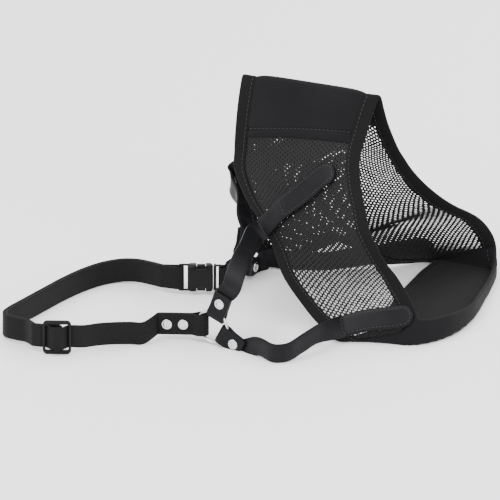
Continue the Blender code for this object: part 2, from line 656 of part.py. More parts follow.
def build_buckle():
    frame = local(BUCKLE_AT, BUCKLE_HEADING)
    t, w = BUCKLE_T / 2, BUCKLE_W / 2
    slot = WEB_W / 2 + 0.6
    socket = add("buckle_socket", block(frame, (9.0, SOCKET_L), (-t, t), (-w, w)), BOX_FACES, PLASTIC, False)
    bevel(socket, 1.4)
    cut(socket, block(frame, (2.8, 10.5), (-1.0, 1.0), (-w + 0.4, w - 0.4)), BOX_FACES, "UNION")
    cut(socket, block(frame, (4.8, 9.3), (-5, 5), (-slot, slot)), BOX_FACES)
    cut(socket, block(frame, (11.5, 30), (-2.6, 2.6), (-7.6, 7.6)), BOX_FACES)
    for side in (-1, 1):
        z = sorted((side * 5, side * 15))
        cut(socket, block(frame, (14.6, 21.2), (-1.9, 1.9), z), BOX_FACES)
    x0 = SOCKET_L + GAP
    plug = add("buckle_plug", block(frame, (x0, x0 + 1.9), (-2.9, 2.9), (-w + 0.6, w - 0.6)), BOX_FACES, PLASTIC, False)
    bevel(plug, 0.5)
    cut(plug, block(frame, (x0 + 0.4, BUCKLE_L), (-1.1, 1.1), (-w + 0.8, w - 0.8)), BOX_FACES, "UNION")
    cut(plug, block(frame, (x0 + 1.9, BUCKLE_L - 2.5), (-5, 5), (-slot, slot)), BOX_FACES)
    cut(plug, block(frame, (12.2, x0 + 1), (-1.4, 1.4), (-1.5, 1.5)), BOX_FACES, "UNION")
    for n in (-1, 1):
        y = sorted((n * 1.7, n * 2.3))
        cut(plug, block(frame, (22.4, x0 + 1), y, (-6.9, 6.9)), BOX_FACES, "UNION")
    for side, name in ((1, "buckle_prong_upper"), (-1, "buckle_prong_lower")):
        z = side * 5.2
        pin = frame[0] + frame[1] * 24.0 + np.array([0, 0, z])
        v, f = lathe("", [(0, -2.0), (0.7, -2.0), (0.7, 2.0), (0, 2.0)], pin, frame[2], PLASTIC, 16)
        cut(plug, v, f, "UNION")
        v, f = lathe("", [(0, -1.4), (1.7, -1.4), (1.7, 1.4), (0, 1.4)], pin, frame[2], PLASTIC, 24)
        prong = pivot(add(name, v, f, PLASTIC, False), pin)
        # arm and barb, outline along x and outwards in z
        out = [(24.0, -1.2), (24.0, 1.2), (20.9, 1.5), (20.9, 4.0), (18.5, 3.9), (15.2, 1.2), (15.2, -1.0)]
        n = len(out)
        up = np.array([0, 0, 1.0])
        v = [frame[0] + frame[1] * x + frame[2] * y + up * (z + side * d) for y in (-1.4, 1.4) for x, d in out]
        f = [tuple(range(n))[::-1], tuple(range(n, 2 * n))]
        f += [(i, (i + 1) % n, n + (i + 1) % n, n + i) for i in range(n)]
        if side > 0:
            f = [loop[::-1] for loop in f]
        cut(prong, v, f, "UNION")
        v, f = lathe("", [(0, -5), (1.0, -5), (1.0, 5), (0, 5)], pin, frame[2], PLASTIC, 16)
        cut(prong, v, f)


def main():
    sleeve = Sleeve()
    build_sleeve(sleeve)
    ring("right_ring", RIGHT_RING, RIGHT_HEADING)
    ring("left_ring", LEFT_RING, LEFT_HEADING)
    build_straps(sleeve)
    build_neck_webbing()
    build_tail_webbing()
    build_slider()
    build_buckle()


for old in list(bpy.data.objects):
    bpy.data.objects.remove(old, do_unlink=True)
PIECES = collection("basket_muzzle")
CUTTERS = collection("cutters")
main()
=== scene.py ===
import math
import bmesh
import bpy
import numpy as np
from mathutils import Matrix, Vector


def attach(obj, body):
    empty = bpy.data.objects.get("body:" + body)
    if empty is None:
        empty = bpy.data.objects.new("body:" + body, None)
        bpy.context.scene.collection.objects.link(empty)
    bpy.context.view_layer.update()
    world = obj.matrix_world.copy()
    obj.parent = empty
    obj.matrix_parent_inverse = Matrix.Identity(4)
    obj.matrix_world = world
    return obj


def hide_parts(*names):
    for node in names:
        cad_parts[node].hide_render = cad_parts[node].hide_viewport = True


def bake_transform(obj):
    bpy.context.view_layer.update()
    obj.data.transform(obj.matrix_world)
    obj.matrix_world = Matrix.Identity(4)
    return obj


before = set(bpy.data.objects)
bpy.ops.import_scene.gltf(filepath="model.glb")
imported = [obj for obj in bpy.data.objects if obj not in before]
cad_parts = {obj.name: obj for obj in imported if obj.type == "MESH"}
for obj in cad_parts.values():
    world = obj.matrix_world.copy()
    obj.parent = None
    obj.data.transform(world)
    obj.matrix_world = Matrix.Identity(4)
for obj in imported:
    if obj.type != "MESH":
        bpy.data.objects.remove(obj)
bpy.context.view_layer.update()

# ---------------------------------------------------------------------------
# Mesh side panels. Stretchy hexagonal warp-knit mesh, cut in two sides and
# sewn under the binding tape. Both follow the sleeve, a surface lofted through
# stations; each runs from the rear rim to the front rim, with how far it bows.
# ---------------------------------------------------------------------------
HOME = np.array((129.575, 138.554, 0))
RIGHT = [
    ((96, 194, 142), (195, 194, 142), 0),
    ((96, 186.5, 127), (193.5, 187, 135.5), 1),
    ((96, 182, 110), (192, 178, 122), 2),
    ((96, 180, 95), (192.5, 164, 108), 3),
    ((97, 178, 80), (198, 152, 94), 4),
    ((107, 174, 62), (205, 143, 81), 4),
    ((121, 161, 55), (211, 137.5, 67), 4),
    ((135, 149, 45), (222, 135.5, 50), 4),
    ((150, 132, 30), (231, 134, 41), 3),
    ((170, 119, 16), (237, 132.5, 34), 2),
    ((185, 109, 9), (242, 131, 28), 1),
    ((199, 103.5, 2), (247, 127.5, 22), 0),
]
CHIN = [
    ((209, 115, 0), (246, 117.5, 0), (252, 124, 17.5)),
    ((216.5, 134, 0), (258.5, 128, 0), (259, 131, 16.5)),
    ((213, 158, 0), (267, 147, 0), (266, 147, 15)),
    ((208.5, 186, 0), (268.5, 174, 0), (269, 172, 12)),
    ((207.5, 211, 0), (265, 199, 0), (265, 197, 10)),
    ((207, 235, 0), (260, 226, 0), (260.5, 225, 8.5)),
    ((208, 252, 0), (253, 252, 0), (255, 250, 9)),
]
LEFT = [
    ((204, 258.5, 0), (250.8, 263, 13), -1),
    ((190, 246, 1.5), (248.5, 264.5, 21), -1),
    ((177, 233, 5), (245, 262.5, 29), 0),
    ((163, 222, 18), (240.5, 259, 36), 0),
    ((149, 217, 23), (235, 255, 41), 1),
    ((134, 217, 17), (228, 249, 46.5), 2),
    ((119, 214, 4), (221, 243.5, 53), 3),
    ((105, 212, 3), (215, 236.5, 61.5), 3),
    ((95, 209, 17), (210, 229, 71), 3),
    ((89, 206, 40), (206, 222, 81), 3),
    ((88, 202.5, 68), (203, 217, 90), 2),
    ((92, 200, 95), (200.5, 211.5, 99.5), 2),
    ((95, 200, 115), (197.5, 203, 118), 1),
    ((96, 197.5, 130), (196, 198.5, 131), 1),
]
T_CHIN0, T_CHIN1, T_END = 12, 19, 33
BIND_W, BIND_T = 10.0, 2.2
PAD0, PAD1 = T_END - 2.1, T_END + 2.5
CHIN0, CHIN1 = T_CHIN0 - 0.52, T_CHIN1 + 0.4


def unit(v):
    v = np.asarray(v, float)
    return v / np.maximum(np.linalg.norm(v, axis=-1, keepdims=True), 1e-12)


def spline(points, u):
    """Catmull-Rom through points at parameter u."""
    p = np.asarray(points, float)
    u = np.clip(np.asarray(u, float), 0, len(p) - 1)
    i = np.minimum(u.astype(int), len(p) - 2)
    f = (u - i).reshape(-1, *[1] * (p.ndim - 1))
    a, b = p[i], p[i + 1]
    before = np.where((i > 0).reshape(f.shape), p[np.maximum(i - 1, 0)], 2 * a - b)
    last = (i < len(p) - 2).reshape(f.shape)
    after = np.where(last, p[np.minimum(i + 2, len(p) - 1)], 2 * b - a)
    return 0.5 * (
        2 * a
        + (b - before) * f
        + (2 * before - 5 * a + 4 * b - after) * f**2
        + (3 * a - before - 3 * b + after) * f**3
    )


def run_of(path):
    """Distance along a path at each of its points."""
    return np.concatenate([[0], np.cumsum(np.linalg.norm(np.diff(path, axis=0), axis=1))])


def resample(path, count):
    s = run_of(path)
    at = np.linspace(0, s[-1], count)
    return np.stack([np.interp(at, s, path[:, k]) for k in range(path.shape[1])], 1), s[-1]


def station_rows():
    """Five points from rear to front at every station round the loop."""
    middle = np.array([185.0, 190.0, 60.0])

    def side(rear, front, full):
        rear, front = np.array(rear, float), np.array(front, float)
        out = (rear + front) / 2 - middle
        out = out - (front - rear) * (out @ (front - rear)) / ((front - rear) @ (front - rear))
        f = np.linspace(0, 1, 5)[:, None]
        return rear + (front - rear) * f + unit(out) * full * 4 * f * (1 - f)

    def chin(rear, base, lip):
        rear, base, lip = np.array(rear, float), np.array(base, float), np.array(lip, float)
        return np.array([rear, rear * 0.6 + base * 0.4, rear * 0.15 + base * 0.85, base + (0, 0, 1), lip])

    return np.array([side(*r) for r in RIGHT] + [chin(*c) for c in CHIN] + [side(*r) for r in LEFT])


class Sleeve:
    """The sleeve's middle surface, read at loop position t and fraction f from rear to front."""
    per, count = 12, 61

    def __init__(self):
        rows = station_rows()
        rows = np.concatenate([rows[-2:], rows, rows[:3]])
        ts = np.arange(0, T_END, 1 / self.per)
        lines, lengths = [], []
        for t in ts:
            line = spline(spline(rows, np.array([t + 2]))[0], np.linspace(0, 4, 81))
            line[:, 2] = np.maximum(line[:, 2], 1.5)
            line, length = resample(line, self.count)
            lines.append(line)
            lengths.append(length)
        self.p = np.array(lines)
        self.length = np.array(lengths)
        around = np.roll(self.p, -1, 0) - np.roll(self.p, 1, 0)
        self.n = unit(np.cross(around, np.gradient(self.p, axis=1)))
        for _ in range(2):
            self.n = unit(self.n + np.roll(self.n, 1, 0) + np.roll(self.n, -1, 0))
        self.a = unit(np.gradient(self.p, axis=1))

    def mix(self, grid, t, f):
        t = np.mod(np.asarray(t, float), T_END) * self.per
        j = np.clip(np.asarray(f, float), 0, 1) * (self.count - 1)
        i0, j0 = t.astype(int) % len(grid), np.minimum(j.astype(int), self.count - 2)
        i1 = (i0 + 1) % len(grid)
        u, v = (t - np.floor(t))[..., None], (j - j0)[..., None]
        low = grid[i0, j0] * (1 - u) + grid[i1, j0] * u
        high = grid[i0, j0 + 1] * (1 - u) + grid[i1, j0 + 1] * u
        return low * (1 - v) + high * v

    def span(self, t):
        t = np.mod(np.asarray(t, float), T_END) * self.per
        i = t.astype(int) % len(self.length)
        u = t - np.floor(t)
        return self.length[i] * (1 - u) + self.length[(i + 1) % len(self.length)] * u

    def at(self, t, f, off=0.0):
        """Point at fraction f, `off` mm out; past a rim it carries straight on."""
        f = np.asarray(f, float)
        over = np.where(f < 0, f, np.where(f > 1, f - 1, 0)) * self.span(t)
        n = unit(self.mix(self.n, t, f))
        out = self.mix(self.p, t, f) + n * np.asarray(off, float)[..., None]
        out = out + unit(self.mix(self.a, t, f)) * over[..., None]
        out[..., 2] = np.maximum(out[..., 2], 0.05)
        return out


sleeve = Sleeve()


def mesh_of(name, verts, faces, uv=None, smooth=True):
    """Object from layout millimetres, with an optional map of one pair per vertex."""
    me = bpy.data.meshes.new(name)
    verts = (np.asarray(verts, float) - HOME) * 0.001
    me.from_pydata([tuple(v) for v in verts.tolist()], [], faces)
    if uv is not None:
        layer = me.uv_layers.new(name="cloth")
        loops = np.zeros(len(me.loops), int)
        me.loops.foreach_get("vertex_index", loops)
        layer.data.foreach_set("uv", (np.asarray(uv, float)[loops] * 0.001).ravel())
    if smooth:
        me.polygons.foreach_set("use_smooth", [True] * len(me.polygons))
    ob = bpy.data.objects.new(name, me)
    bpy.context.scene.collection.objects.link(ob)
    return ob


def new_material(name):
    m = bpy.data.materials.new(name)
    m.use_nodes = True
    return m, m.node_tree.nodes["Principled BSDF"], m.node_tree


def node(tree, kind, **values):
    """Node with its plain sockets set by name."""
    n = tree.nodes.new(kind)
    for key, value in values.items():
        if hasattr(n, key):
            setattr(n, key, value)
        else:
            n.inputs[key.replace("_", " ")].default_value = value
    return n


def mottle(tree, scale, detail):
    """Noise fixed to the piece itself, in object coordinates."""
    place = tree.nodes.new("ShaderNodeTexCoord")
    noise = node(tree, "ShaderNodeTexNoise", Scale=scale, Detail=detail)
    tree.links.new(place.outputs["Object"], noise.inputs["Vector"])
    return noise.outputs["Fac"]


def coloured(tree, shader, value, dark, light, first=0.0):
    """Base colour from dark to light as the value rises from `first` to 1."""
    tint = tree.nodes.new("ShaderNodeValToRGB")
    low, high = tint.color_ramp.elements
    low.position, low.color, high.color = first, (*dark, 1), (*light, 1)
    tree.links.new(value, tint.inputs["Fac"])
    tree.links.new(tint.outputs["Color"], shader.inputs["Base Color"])


def relief(tree, shader, height, strength, distance):
    bump = node(tree, "ShaderNodeBump", Strength=strength, Distance=distance)
    tree.links.new(height, bump.inputs["Height"])
    tree.links.new(bump.outputs["Normal"], shader.inputs["Normal"])


def worn(tree, shader, value, low, high):
    """Roughness that wanders between two values."""
    rough = tree.nodes.new("ShaderNodeMapRange")
    rough.inputs["To Min"].default_value = low
    rough.inputs["To Max"].default_value = high
    tree.links.new(value, rough.inputs["Value"])
    tree.links.new(rough.outputs["Result"], shader.inputs["Roughness"])


def repeated(name, shape, points, turns, mat):
    """Copies of one small mesh, in metres, at points with Euler turns, joined into one object."""
    source = bpy.data.objects.new(name + "_unit", shape)
    me = bpy.data.meshes.new(name)
    me.from_pydata([tuple(p) for p in np.asarray(points, float).tolist()], [], [])
    turn = me.attributes.new("turn", "FLOAT_VECTOR", "POINT")
    turn.data.foreach_set("vector", np.asarray(turns, float).ravel())
    ob = bpy.data.objects.new(name, me)
    bpy.context.scene.collection.objects.link(ob)
    tree = bpy.data.node_groups.new(name, "GeometryNodeTree")
    tree.interface.new_socket("Geometry", in_out="INPUT", socket_type="NodeSocketGeometry")
    tree.interface.new_socket("Geometry", in_out="OUTPUT", socket_type="NodeSocketGeometry")
    start, end = tree.nodes.new("NodeGroupInput"), tree.nodes.new("NodeGroupOutput")
    info = tree.nodes.new("GeometryNodeObjectInfo")
    info.inputs["Object"].default_value = source
    named = tree.nodes.new("GeometryNodeInputNamedAttribute")
    named.data_type = "FLOAT_VECTOR"
    named.inputs["Name"].default_value = "turn"
    euler = tree.nodes.new("FunctionNodeEulerToRotation")
    place = tree.nodes.new("GeometryNodeInstanceOnPoints")
    real = tree.nodes.new("GeometryNodeRealizeInstances")
    paint = tree.nodes.new("GeometryNodeSetMaterial")
    paint.inputs["Material"].default_value = mat
    link = tree.links.new
    link(start.outputs[0], place.inputs["Points"])
    link(info.outputs["Geometry"], place.inputs["Instance"])
    link(named.outputs["Attribute"], euler.inputs[0])
    link(euler.outputs[0], place.inputs["Rotation"])
    link(place.outputs[0], real.inputs[0])
    link(real.outputs[0], paint.inputs["Geometry"])
    link(paint.outputs[0], end.inputs[0])
    ob.modifiers.new("repeat", "NODES").node_group = tree
    depsgraph = bpy.context.evaluated_depsgraph_get()
    mesh = bpy.data.meshes.new_from_object(ob.evaluated_get(depsgraph))
    ob.modifiers.clear()
    ob.data = mesh
    bpy.data.objects.remove(source)
    return ob


def hex_cell(pitch, row, hole, thick):
    """One hexagonal cell of the mesh: a flat frame round a rounded hole, in metres."""
    outer = [(pitch / 2, row / 3), (0, row * 2 / 3), (-pitch / 2, row / 3)]
    outer += [(-pitch / 2, -row / 3), (0, -row * 2 / 3), (pitch / 2, -row / 3)]
    inner = [(x * hole, y * hole) for x, y in outer]
    verts, faces = [], []
    half, lip = thick / 2, thick / 2 * 0.6
    for z, ring in ((half, outer), (lip, inner), (-lip, inner), (-half, outer)):
        verts += [(x, y, z) for x, y in ring]
    for k in range(6):
        j = (k + 1) % 6
        for r in (0, 6, 12, 18):
            low = (r + 6) % 24
            faces.append((r + k, r + j, low + j, low + k))
    me = bpy.data.meshes.new("cell")
    me.from_pydata([(x * 0.001, y * 0.001, z * 0.001) for x, y, z in verts], [], faces)
    me.polygons.foreach_set("use_smooth", [True] * len(me.polygons))
    return me


def mesh_material():
    m, shader, tree = new_material("warp knit mesh")
    fuzz = mottle(tree, 1400.0, 3.0)
    coloured(tree, shader, fuzz, (0.002, 0.002, 0.0022), (0.012, 0.012, 0.013))
    relief(tree, shader, fuzz, 0.5, 0.0002)
    shader.inputs["Roughness"].default_value = 0.62
    shader.inputs["Specular IOR Level"].default_value = 0.15
    shader.inputs["Sheen Weight"].default_value = 0.03
    return m


def mesh_panel(name, t0, t1, mat, openness):
    """Lattice laid out flat by cells, then carried onto the sleeve between two loop positions."""
    pitch, row, thick = 3.0, 1.95, 0.7
    ts = np.linspace(t0, t1, 400)
    mid = sleeve.at(ts, np.full(400, 0.5))
    s = run_of(mid)
    widest = sleeve.span(ts).max() / 2
    points = []
    for j in range(-int(widest / row) - 1, int(widest / row) + 2):
        for i in range(int(s[-1] / pitch) + 2):
            x = (i + 0.5 * (j % 2)) * pitch
            if x > s[-1]:
                continue
            room = np.interp(x, s, sleeve.span(ts)) / 2 - BIND_W + 3
            if abs(j * row) < room:
                points.append((x, j * row, 0))
    cell = hex_cell(pitch, row, 0.6, thick)
    ob = repeated(name, cell, np.array(points) * 0.001, np.zeros((len(points), 3)), mat)
    flat = np.array([v.co for v in ob.data.vertices]) * 1000
    # the knit opens where the sleeve is pulled tight and closes up where it is slack
    cells = flat.reshape(-1, 24, 3)
    middle = cells.mean(1, keepdims=True)
    tc = np.interp(middle[:, 0, 0], s, ts)
    fc = 0.5 + middle[:, 0, 1] / sleeve.span(tc)
    rng = np.random.default_rng(7)
    hole = openness(tc, fc) * (1 + rng.normal(0, 0.05, len(tc)))
    lean = rng.normal(0, 0.05, (len(tc), 1, 2))
    reach = (cells[:, 6:18, :2] - middle[:, :, :2]) * (hole / 0.6)[:, None, None]
    cells[:, 6:18, :2] = middle[:, :, :2] + lean + reach
    flat = cells.reshape(-1, 3)
    t = np.interp(flat[:, 0], s, ts)
    shape = sleeve.at(t, 0.5 + flat[:, 1] / sleeve.span(t), flat[:, 2])
    ob.data.vertices.foreach_set("co", ((shape - HOME) * 0.001).ravel())
    joined = bmesh.new()
    joined.from_mesh(ob.data)
    bmesh.ops.remove_doubles(joined, verts=joined.verts, dist=0.00002)
    inside = [f for f in joined.faces if all(len(e.link_faces) > 2 for e in f.edges)]
    bmesh.ops.delete(joined, geom=inside, context="FACES_ONLY")
    joined.to_mesh(ob.data)
    joined.free()
    return ob, s[-1], len(cells) * pitch * row


mesh_cloth = mesh_material()
for name, t0, t1, openness in (
    ("right_mesh_panel", PAD1 - T_END - 0.1, T_CHIN0 - 0.5,
     lambda t, f: np.interp(t, [3, 6.5, 8.2, 12], [0.36, 0.4, 0.62, 0.66])),
    ("left_mesh_panel", T_CHIN1 + 0.3, PAD0 + 0.1,
     lambda t, f: np.interp(f, [0.3, 0.75], [0.28, 0.52])),
):
    panel, around, area = mesh_panel(name + "_cloth", t0, t1, mesh_cloth, openness)
    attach(panel, "muzzle")
    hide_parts(name)

# ---------------------------------------------------------------------------
# Binding tapes. Ribbed polyester tape folded over both rims of the sleeve and
# lock-stitched through all layers close to its inner edge.
# ---------------------------------------------------------------------------
def swept(name, rings, u, v, closed=False, cap=True):
    """Tube through rings of points (rows along, columns round), with cloth lengths u, v in mm."""
    m, k, _ = rings.shape
    faces, maps = [], []
    wide = np.append(v, v[-1] + np.linalg.norm(rings[0, 0] - rings[0, -1]))
    for i in range(m if closed else m - 1):
        j = (i + 1) % m
        u1 = u[i + 1] if i + 1 < len(u) else u[-1] + u[1]
        for c in range(k):
            d = (c + 1) % k
            faces.append((i * k + c, i * k + d, j * k + d, j * k + c))
            maps += [(u[i], wide[c]), (u[i], wide[c + 1]), (u1, wide[c + 1]), (u1, wide[c])]
    if cap and not closed:
        for row, turn in ((0, -1), (m - 1, 1)):
            loop = [row * k + c for c in range(k)][::turn]
            faces.append(tuple(loop))
            maps += [(u[row], wide[c % k]) for c in loop]
    ob = mesh_of(name, rings.reshape(-1, 3), faces)
    layer = ob.data.uv_layers.new(name="cloth")
    layer.data.foreach_set("uv", (np.array(maps) * 0.001).ravel())
    return ob


def turns_of(along, normal):
    """Euler turn of each stitch: X along the seam and Z out of the cloth."""
    along = unit(along)
    normal = unit(normal - along * (normal * along).sum(1, keepdims=True))
    side = np.cross(normal, along)
    return [
        tuple(Matrix((a, s, n)).transposed().to_euler()) for a, s, n in zip(along, side, normal)
    ]


def stitch_shape(length, thick):
    """One rounded stitch, lying along X and dipping at its ends."""
    verts, faces = [], []
    rows = (
        (-0.5, 0.25, -0.5), (-0.4, 0.8, -0.05), (-0.15, 1, 0.15),
        (0.15, 1, 0.15), (0.4, 0.8, -0.05), (0.5, 0.25, -0.5),
    )
    for x, r, z in rows:
        for k in range(6):
            a = math.pi / 3 * k
            verts.append((x * length, r * thick / 2 * math.cos(a), (z + r / 2 * math.sin(a)) * thick))
    for i in range(len(rows) - 1):
        for k in range(6):
            j = (k + 1) % 6
            faces.append((i * 6 + k, i * 6 + j, i * 6 + 6 + j, i * 6 + 6 + k))
    me = bpy.data.meshes.new("stitch")
    me.from_pydata([tuple(c * 0.001 for c in p) for p in verts], [], faces)
    me.polygons.foreach_set("use_smooth", [True] * len(me.polygons))
    return me


def thread_material():
    m, shader, tree = new_material("bonded thread")
    coloured(tree, shader, mottle(tree, 900.0, 2.0), (0.002, 0.002, 0.0022), (0.009, 0.009, 0.0095))
    shader.inputs["Roughness"].default_value = 0.5
    return m


def stitched(name, lines, pitch, length, thick, mat):
    """Stitches at an even pitch along lines of (points, normals), in layout millimetres."""
    places, turns = [], []
    for points, normals in lines:
        count = max(2, int(resample(points, 2)[1] / pitch))
        both = np.concatenate([points, normals], 1)
        s = run_of(points)
        at = (np.arange(count) + 0.5) * s[-1] / count
        row = np.stack([np.interp(at, s, both[:, k]) for k in range(6)], 1)
        places.append((row[:, :3] - HOME) * 0.001)
        turns += turns_of(np.gradient(row[:, :3], axis=0), row[:, 3:])
    return repeated(name, stitch_shape(length, thick), np.concatenate(places), turns, mat)


def cloth_weave(name, along, across, depth):
    """Node group: two crossing sets of yarns on a cloth map. Gives a height, and a painted shade that is
    darker where the yarns are low.
    """
    group = bpy.data.node_groups.new(name, "ShaderNodeTree")
    group.interface.new_socket("Vector", in_out="INPUT", socket_type="NodeSocketVector")
    group.interface.new_socket("Height", in_out="OUTPUT", socket_type="NodeSocketFloat")
    group.interface.new_socket("Painted shade", in_out="OUTPUT", socket_type="NodeSocketFloat")
    start, end = group.nodes.new("NodeGroupInput"), group.nodes.new("NodeGroupOutput")
    split = group.nodes.new("ShaderNodeSeparateXYZ")
    group.links.new(start.outputs[0], split.inputs[0])

    def maths(kind, a, b=None):
        n = group.nodes.new("ShaderNodeMath")
        n.operation = kind
        for i, x in enumerate((a, b)):
            if x is None:
                continue
            if isinstance(x, (int, float)):
                n.inputs[i].default_value = x
            else:
                group.links.new(x, n.inputs[i])
        return n.outputs[0]

    u = maths("MULTIPLY", split.outputs["X"], 2 * math.pi / along)
    v = maths("MULTIPLY", split.outputs["Y"], 2 * math.pi / across)
    ribs = maths("SINE", u)
    cords = maths("SINE", v)
    slow_u, slow_v = maths("MULTIPLY", u, 0.5), maths("MULTIPLY", v, 0.5)
    cross = maths("MULTIPLY", maths("SINE", slow_u), maths("SINE", slow_v))
    both = maths("ADD", maths("MULTIPLY", ribs, 0.35), maths("MULTIPLY", cords, 0.25))
    both = maths("ADD", both, maths("MULTIPLY", cross, 0.4))
    noise = group.nodes.new("ShaderNodeTexNoise")
    noise.inputs["Scale"].default_value = 700.0
    noise.inputs["Detail"].default_value = 4.0
    group.links.new(start.outputs[0], noise.inputs["Vector"])
    both = maths("ADD", both, maths("MULTIPLY", noise.outputs["Fac"], 0.5))
    height = maths("MULTIPLY", both, depth)
    # painted shade: this is the yarn height again, so the colour is darker in the hollows between yarns
    shade = maths("ADD", maths("MULTIPLY", both, 0.4), 0.4)
    group.links.new(height, end.inputs["Height"])
    group.links.new(shade, end.inputs["Painted shade"])
    return group


def cloth_material(name, weave, dark, light, rough, sheen, strength=1.0):
    """Woven or knitted cloth on its own map: yarn relief, painted shade in the hollows between yarns, slow
    wear and lint.
    """
    m, shader, tree = new_material(name)
    place = tree.nodes.new("ShaderNodeUVMap")
    place.uv_map = "cloth"
    yarn = tree.nodes.new("ShaderNodeGroup")
    yarn.node_tree = weave
    tree.links.new(place.outputs["UV"], yarn.inputs[0])
    # base colour: random wear and lint mottle plus the weave's painted shade in the yarn hollows
    shade = tree.nodes.new("ShaderNodeMath")
    shade.operation = "MULTIPLY_ADD"
    shade.inputs[1].default_value = 0.5
    tree.links.new(mottle(tree, 28.0, 4.0), shade.inputs[0])
    tree.links.new(yarn.outputs["Painted shade"], shade.inputs[2])
    coloured(tree, shader, shade.outputs[0], dark, light, 0.25)
    relief(tree, shader, yarn.outputs["Height"], strength, 0.001)
    shader.inputs["Roughness"].default_value = rough
    shader.inputs["Specular IOR Level"].default_value = 0.12
    shader.inputs["Sheen Weight"].default_value = sheen
    shader.inputs["Sheen Roughness"].default_value = 0.5
    return m


TAPE_PROFILE = [
    (10.0, 0.4), (9.95, 0.75), (9.6, 0.98), (8.6, 1.04), (8.0, 0.98), (7.4, 1.05), (5.0, 1.15),
    (2.6, 1.2), (1.3, 1.16), (0.5, 0.92), (0.05, 0.5), (-0.1, 0.0), (0.05, -0.5), (0.5, -0.92),
    (1.3, -1.16), (2.6, -1.2), (5.0, -1.15), (7.4, -1.05), (8.0, -0.98), (8.6, -1.04),
    (9.6, -0.98), (9.95, -0.75), (10.0, -0.4),
]


def tape(name, rim, t0, t1, mat):
    """Folded tape along one rim (0 rear, 1 front) between two loop positions."""
    ts = np.linspace(t0, t1, int((t1 - t0) * 14))
    w = np.array([p[0] for p in TAPE_PROFILE])
    off = np.array([p[1] for p in TAPE_PROFILE])
    f = w[None, :] / sleeve.span(ts)[:, None]
    if rim:
        f = 1 - f
    off = np.repeat(off[None, :], len(ts), 0)
    rings = sleeve.at(np.repeat(ts[:, None], len(w), 1), f, off)
    edge = sleeve.at(ts, np.full(len(ts), float(rim)))
    s = run_of(edge)
    gap = np.hypot(np.diff(w), np.diff(off[0]))
    ob = swept(name, rings if rim else rings[:, ::-1], s, np.concatenate([[0], np.cumsum(gap)]))
    ob.data.materials.append(mat)
    lines = []
    inset = 8.0 / sleeve.span(ts)
    for side in (1, -1):
        line = sleeve.at(ts, 1 - inset if rim else inset, np.full(len(ts), side * 1.02))
        lines.append((line, sleeve.mix(sleeve.n, ts, np.full(len(ts), float(rim))) * side))
    return ob, lines, s[-1]


thread = thread_material()
tape_cloth = cloth_material(
    "ribbed binding tape", cloth_weave("tape yarns", 0.0009, 0.0014, 0.10),
    (0.0012, 0.0012, 0.0013), (0.006, 0.006, 0.0065), 0.85, 0.02, 0.7,
)
for rim, name in ((0, "rear_binding"), (1, "front_binding")):
    piece, seam, length = tape(name + "_tape", rim, T_CHIN1 + 0.32, T_END + CHIN0 + 0.06, tape_cloth)
    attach(piece, "muzzle")
    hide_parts(name)
    stitches = stitched(name + "_stitches", seam, 3.0, 2.3, 0.5, thread)
    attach(stitches, "muzzle")

# ---------------------------------------------------------------------------
# Ridge pad. Knit-faced foam over the bridge of the nose with a thin lining
# behind it, sewn down along both lower edges and under the tapes.
# ---------------------------------------------------------------------------
def slab(name, t0, t1, rows, f_of, outer, inner):
    """Closed sheet on the sleeve: outer(d) and inner(d) give offsets from the distance to an edge."""
    ts = np.linspace(t0, t1, rows)
    spans = sleeve.span(ts)
    mid = sleeve.at(ts, np.full(rows, 0.5))
    s = run_of(mid)
    a, b = f_of(spans)
    share = np.linspace(0, 1, 46) - np.sin(np.linspace(0, 2 * math.pi, 46)) * 0.06
    f = a[:, None] + (b - a)[:, None] * share[None, :]
    w = (f - a[:, None]) * spans[:, None]
    ends = np.minimum(s, s[-1] - s)[:, None] + w * 0
    sides = np.minimum(w, (b - a)[:, None] * spans[:, None] - w)
    tt = np.repeat(ts[:, None], f.shape[1], 1)
    top = sleeve.at(tt, f, outer(ends, sides))
    low = sleeve.at(tt, f, inner(ends, sides))
    rings = np.concatenate([top, low[:, ::-1]], 1)
    across = w.mean(0)
    v = np.concatenate([across, across[-1] + 1 + across])
    return swept(name, rings, s, v), ts, s


knit = cloth_material(
    "close knit", cloth_weave("knit yarns", 0.0011, 0.0009, 0.09),
    (0.0014, 0.0014, 0.0016), (0.008, 0.008, 0.009), 0.9, 0.03, 0.8,
)
PAD_ROWS = 90
tape_room = lambda spans: (9.4 / spans, 1 - 9.4 / spans)
crown = lambda ends, sides: (
    0.5 + 2.4 * (1 - np.exp(-ends / 2.2)) * (1 - np.exp(-sides / 4.5))
    - 0.9 * np.exp(-((ends - 6.5) / 1.0) ** 2)
)
pad, ts, s = slab("nose_pad_knit", PAD0, PAD1, PAD_ROWS, tape_room, crown, lambda e, d: 0.15 + 0 * e)
pad.data.materials.append(knit)
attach(pad, "muzzle")
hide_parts("nose_pad")
lining, _, _ = slab(
    "nose_pad_lining_knit", PAD0, PAD1, PAD_ROWS, tape_room,
    lambda e, d: -0.15 + 0 * e, lambda e, d: -0.35 - 0.85 * (1 - np.exp(-np.minimum(e, d) / 1.2)),
)
lining.data.materials.append(knit)
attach(lining, "muzzle")
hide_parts("nose_pad_lining")
lines = []
for end in (6.5, s[-1] - 6.5):
    t = np.interp(end, s, ts)
    spans = sleeve.span(t)
    f = np.linspace(11 / spans, 1 - 11 / spans, 40)
    tt = np.full(40, t)
    lines.append((sleeve.at(tt, f, np.full(40, 2.0)), sleeve.mix(sleeve.n, tt, f)))
pad_seams = stitched("nose_pad_stitches", lines, 3.0, 2.3, 0.5, thread)
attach(pad_seams, "muzzle")

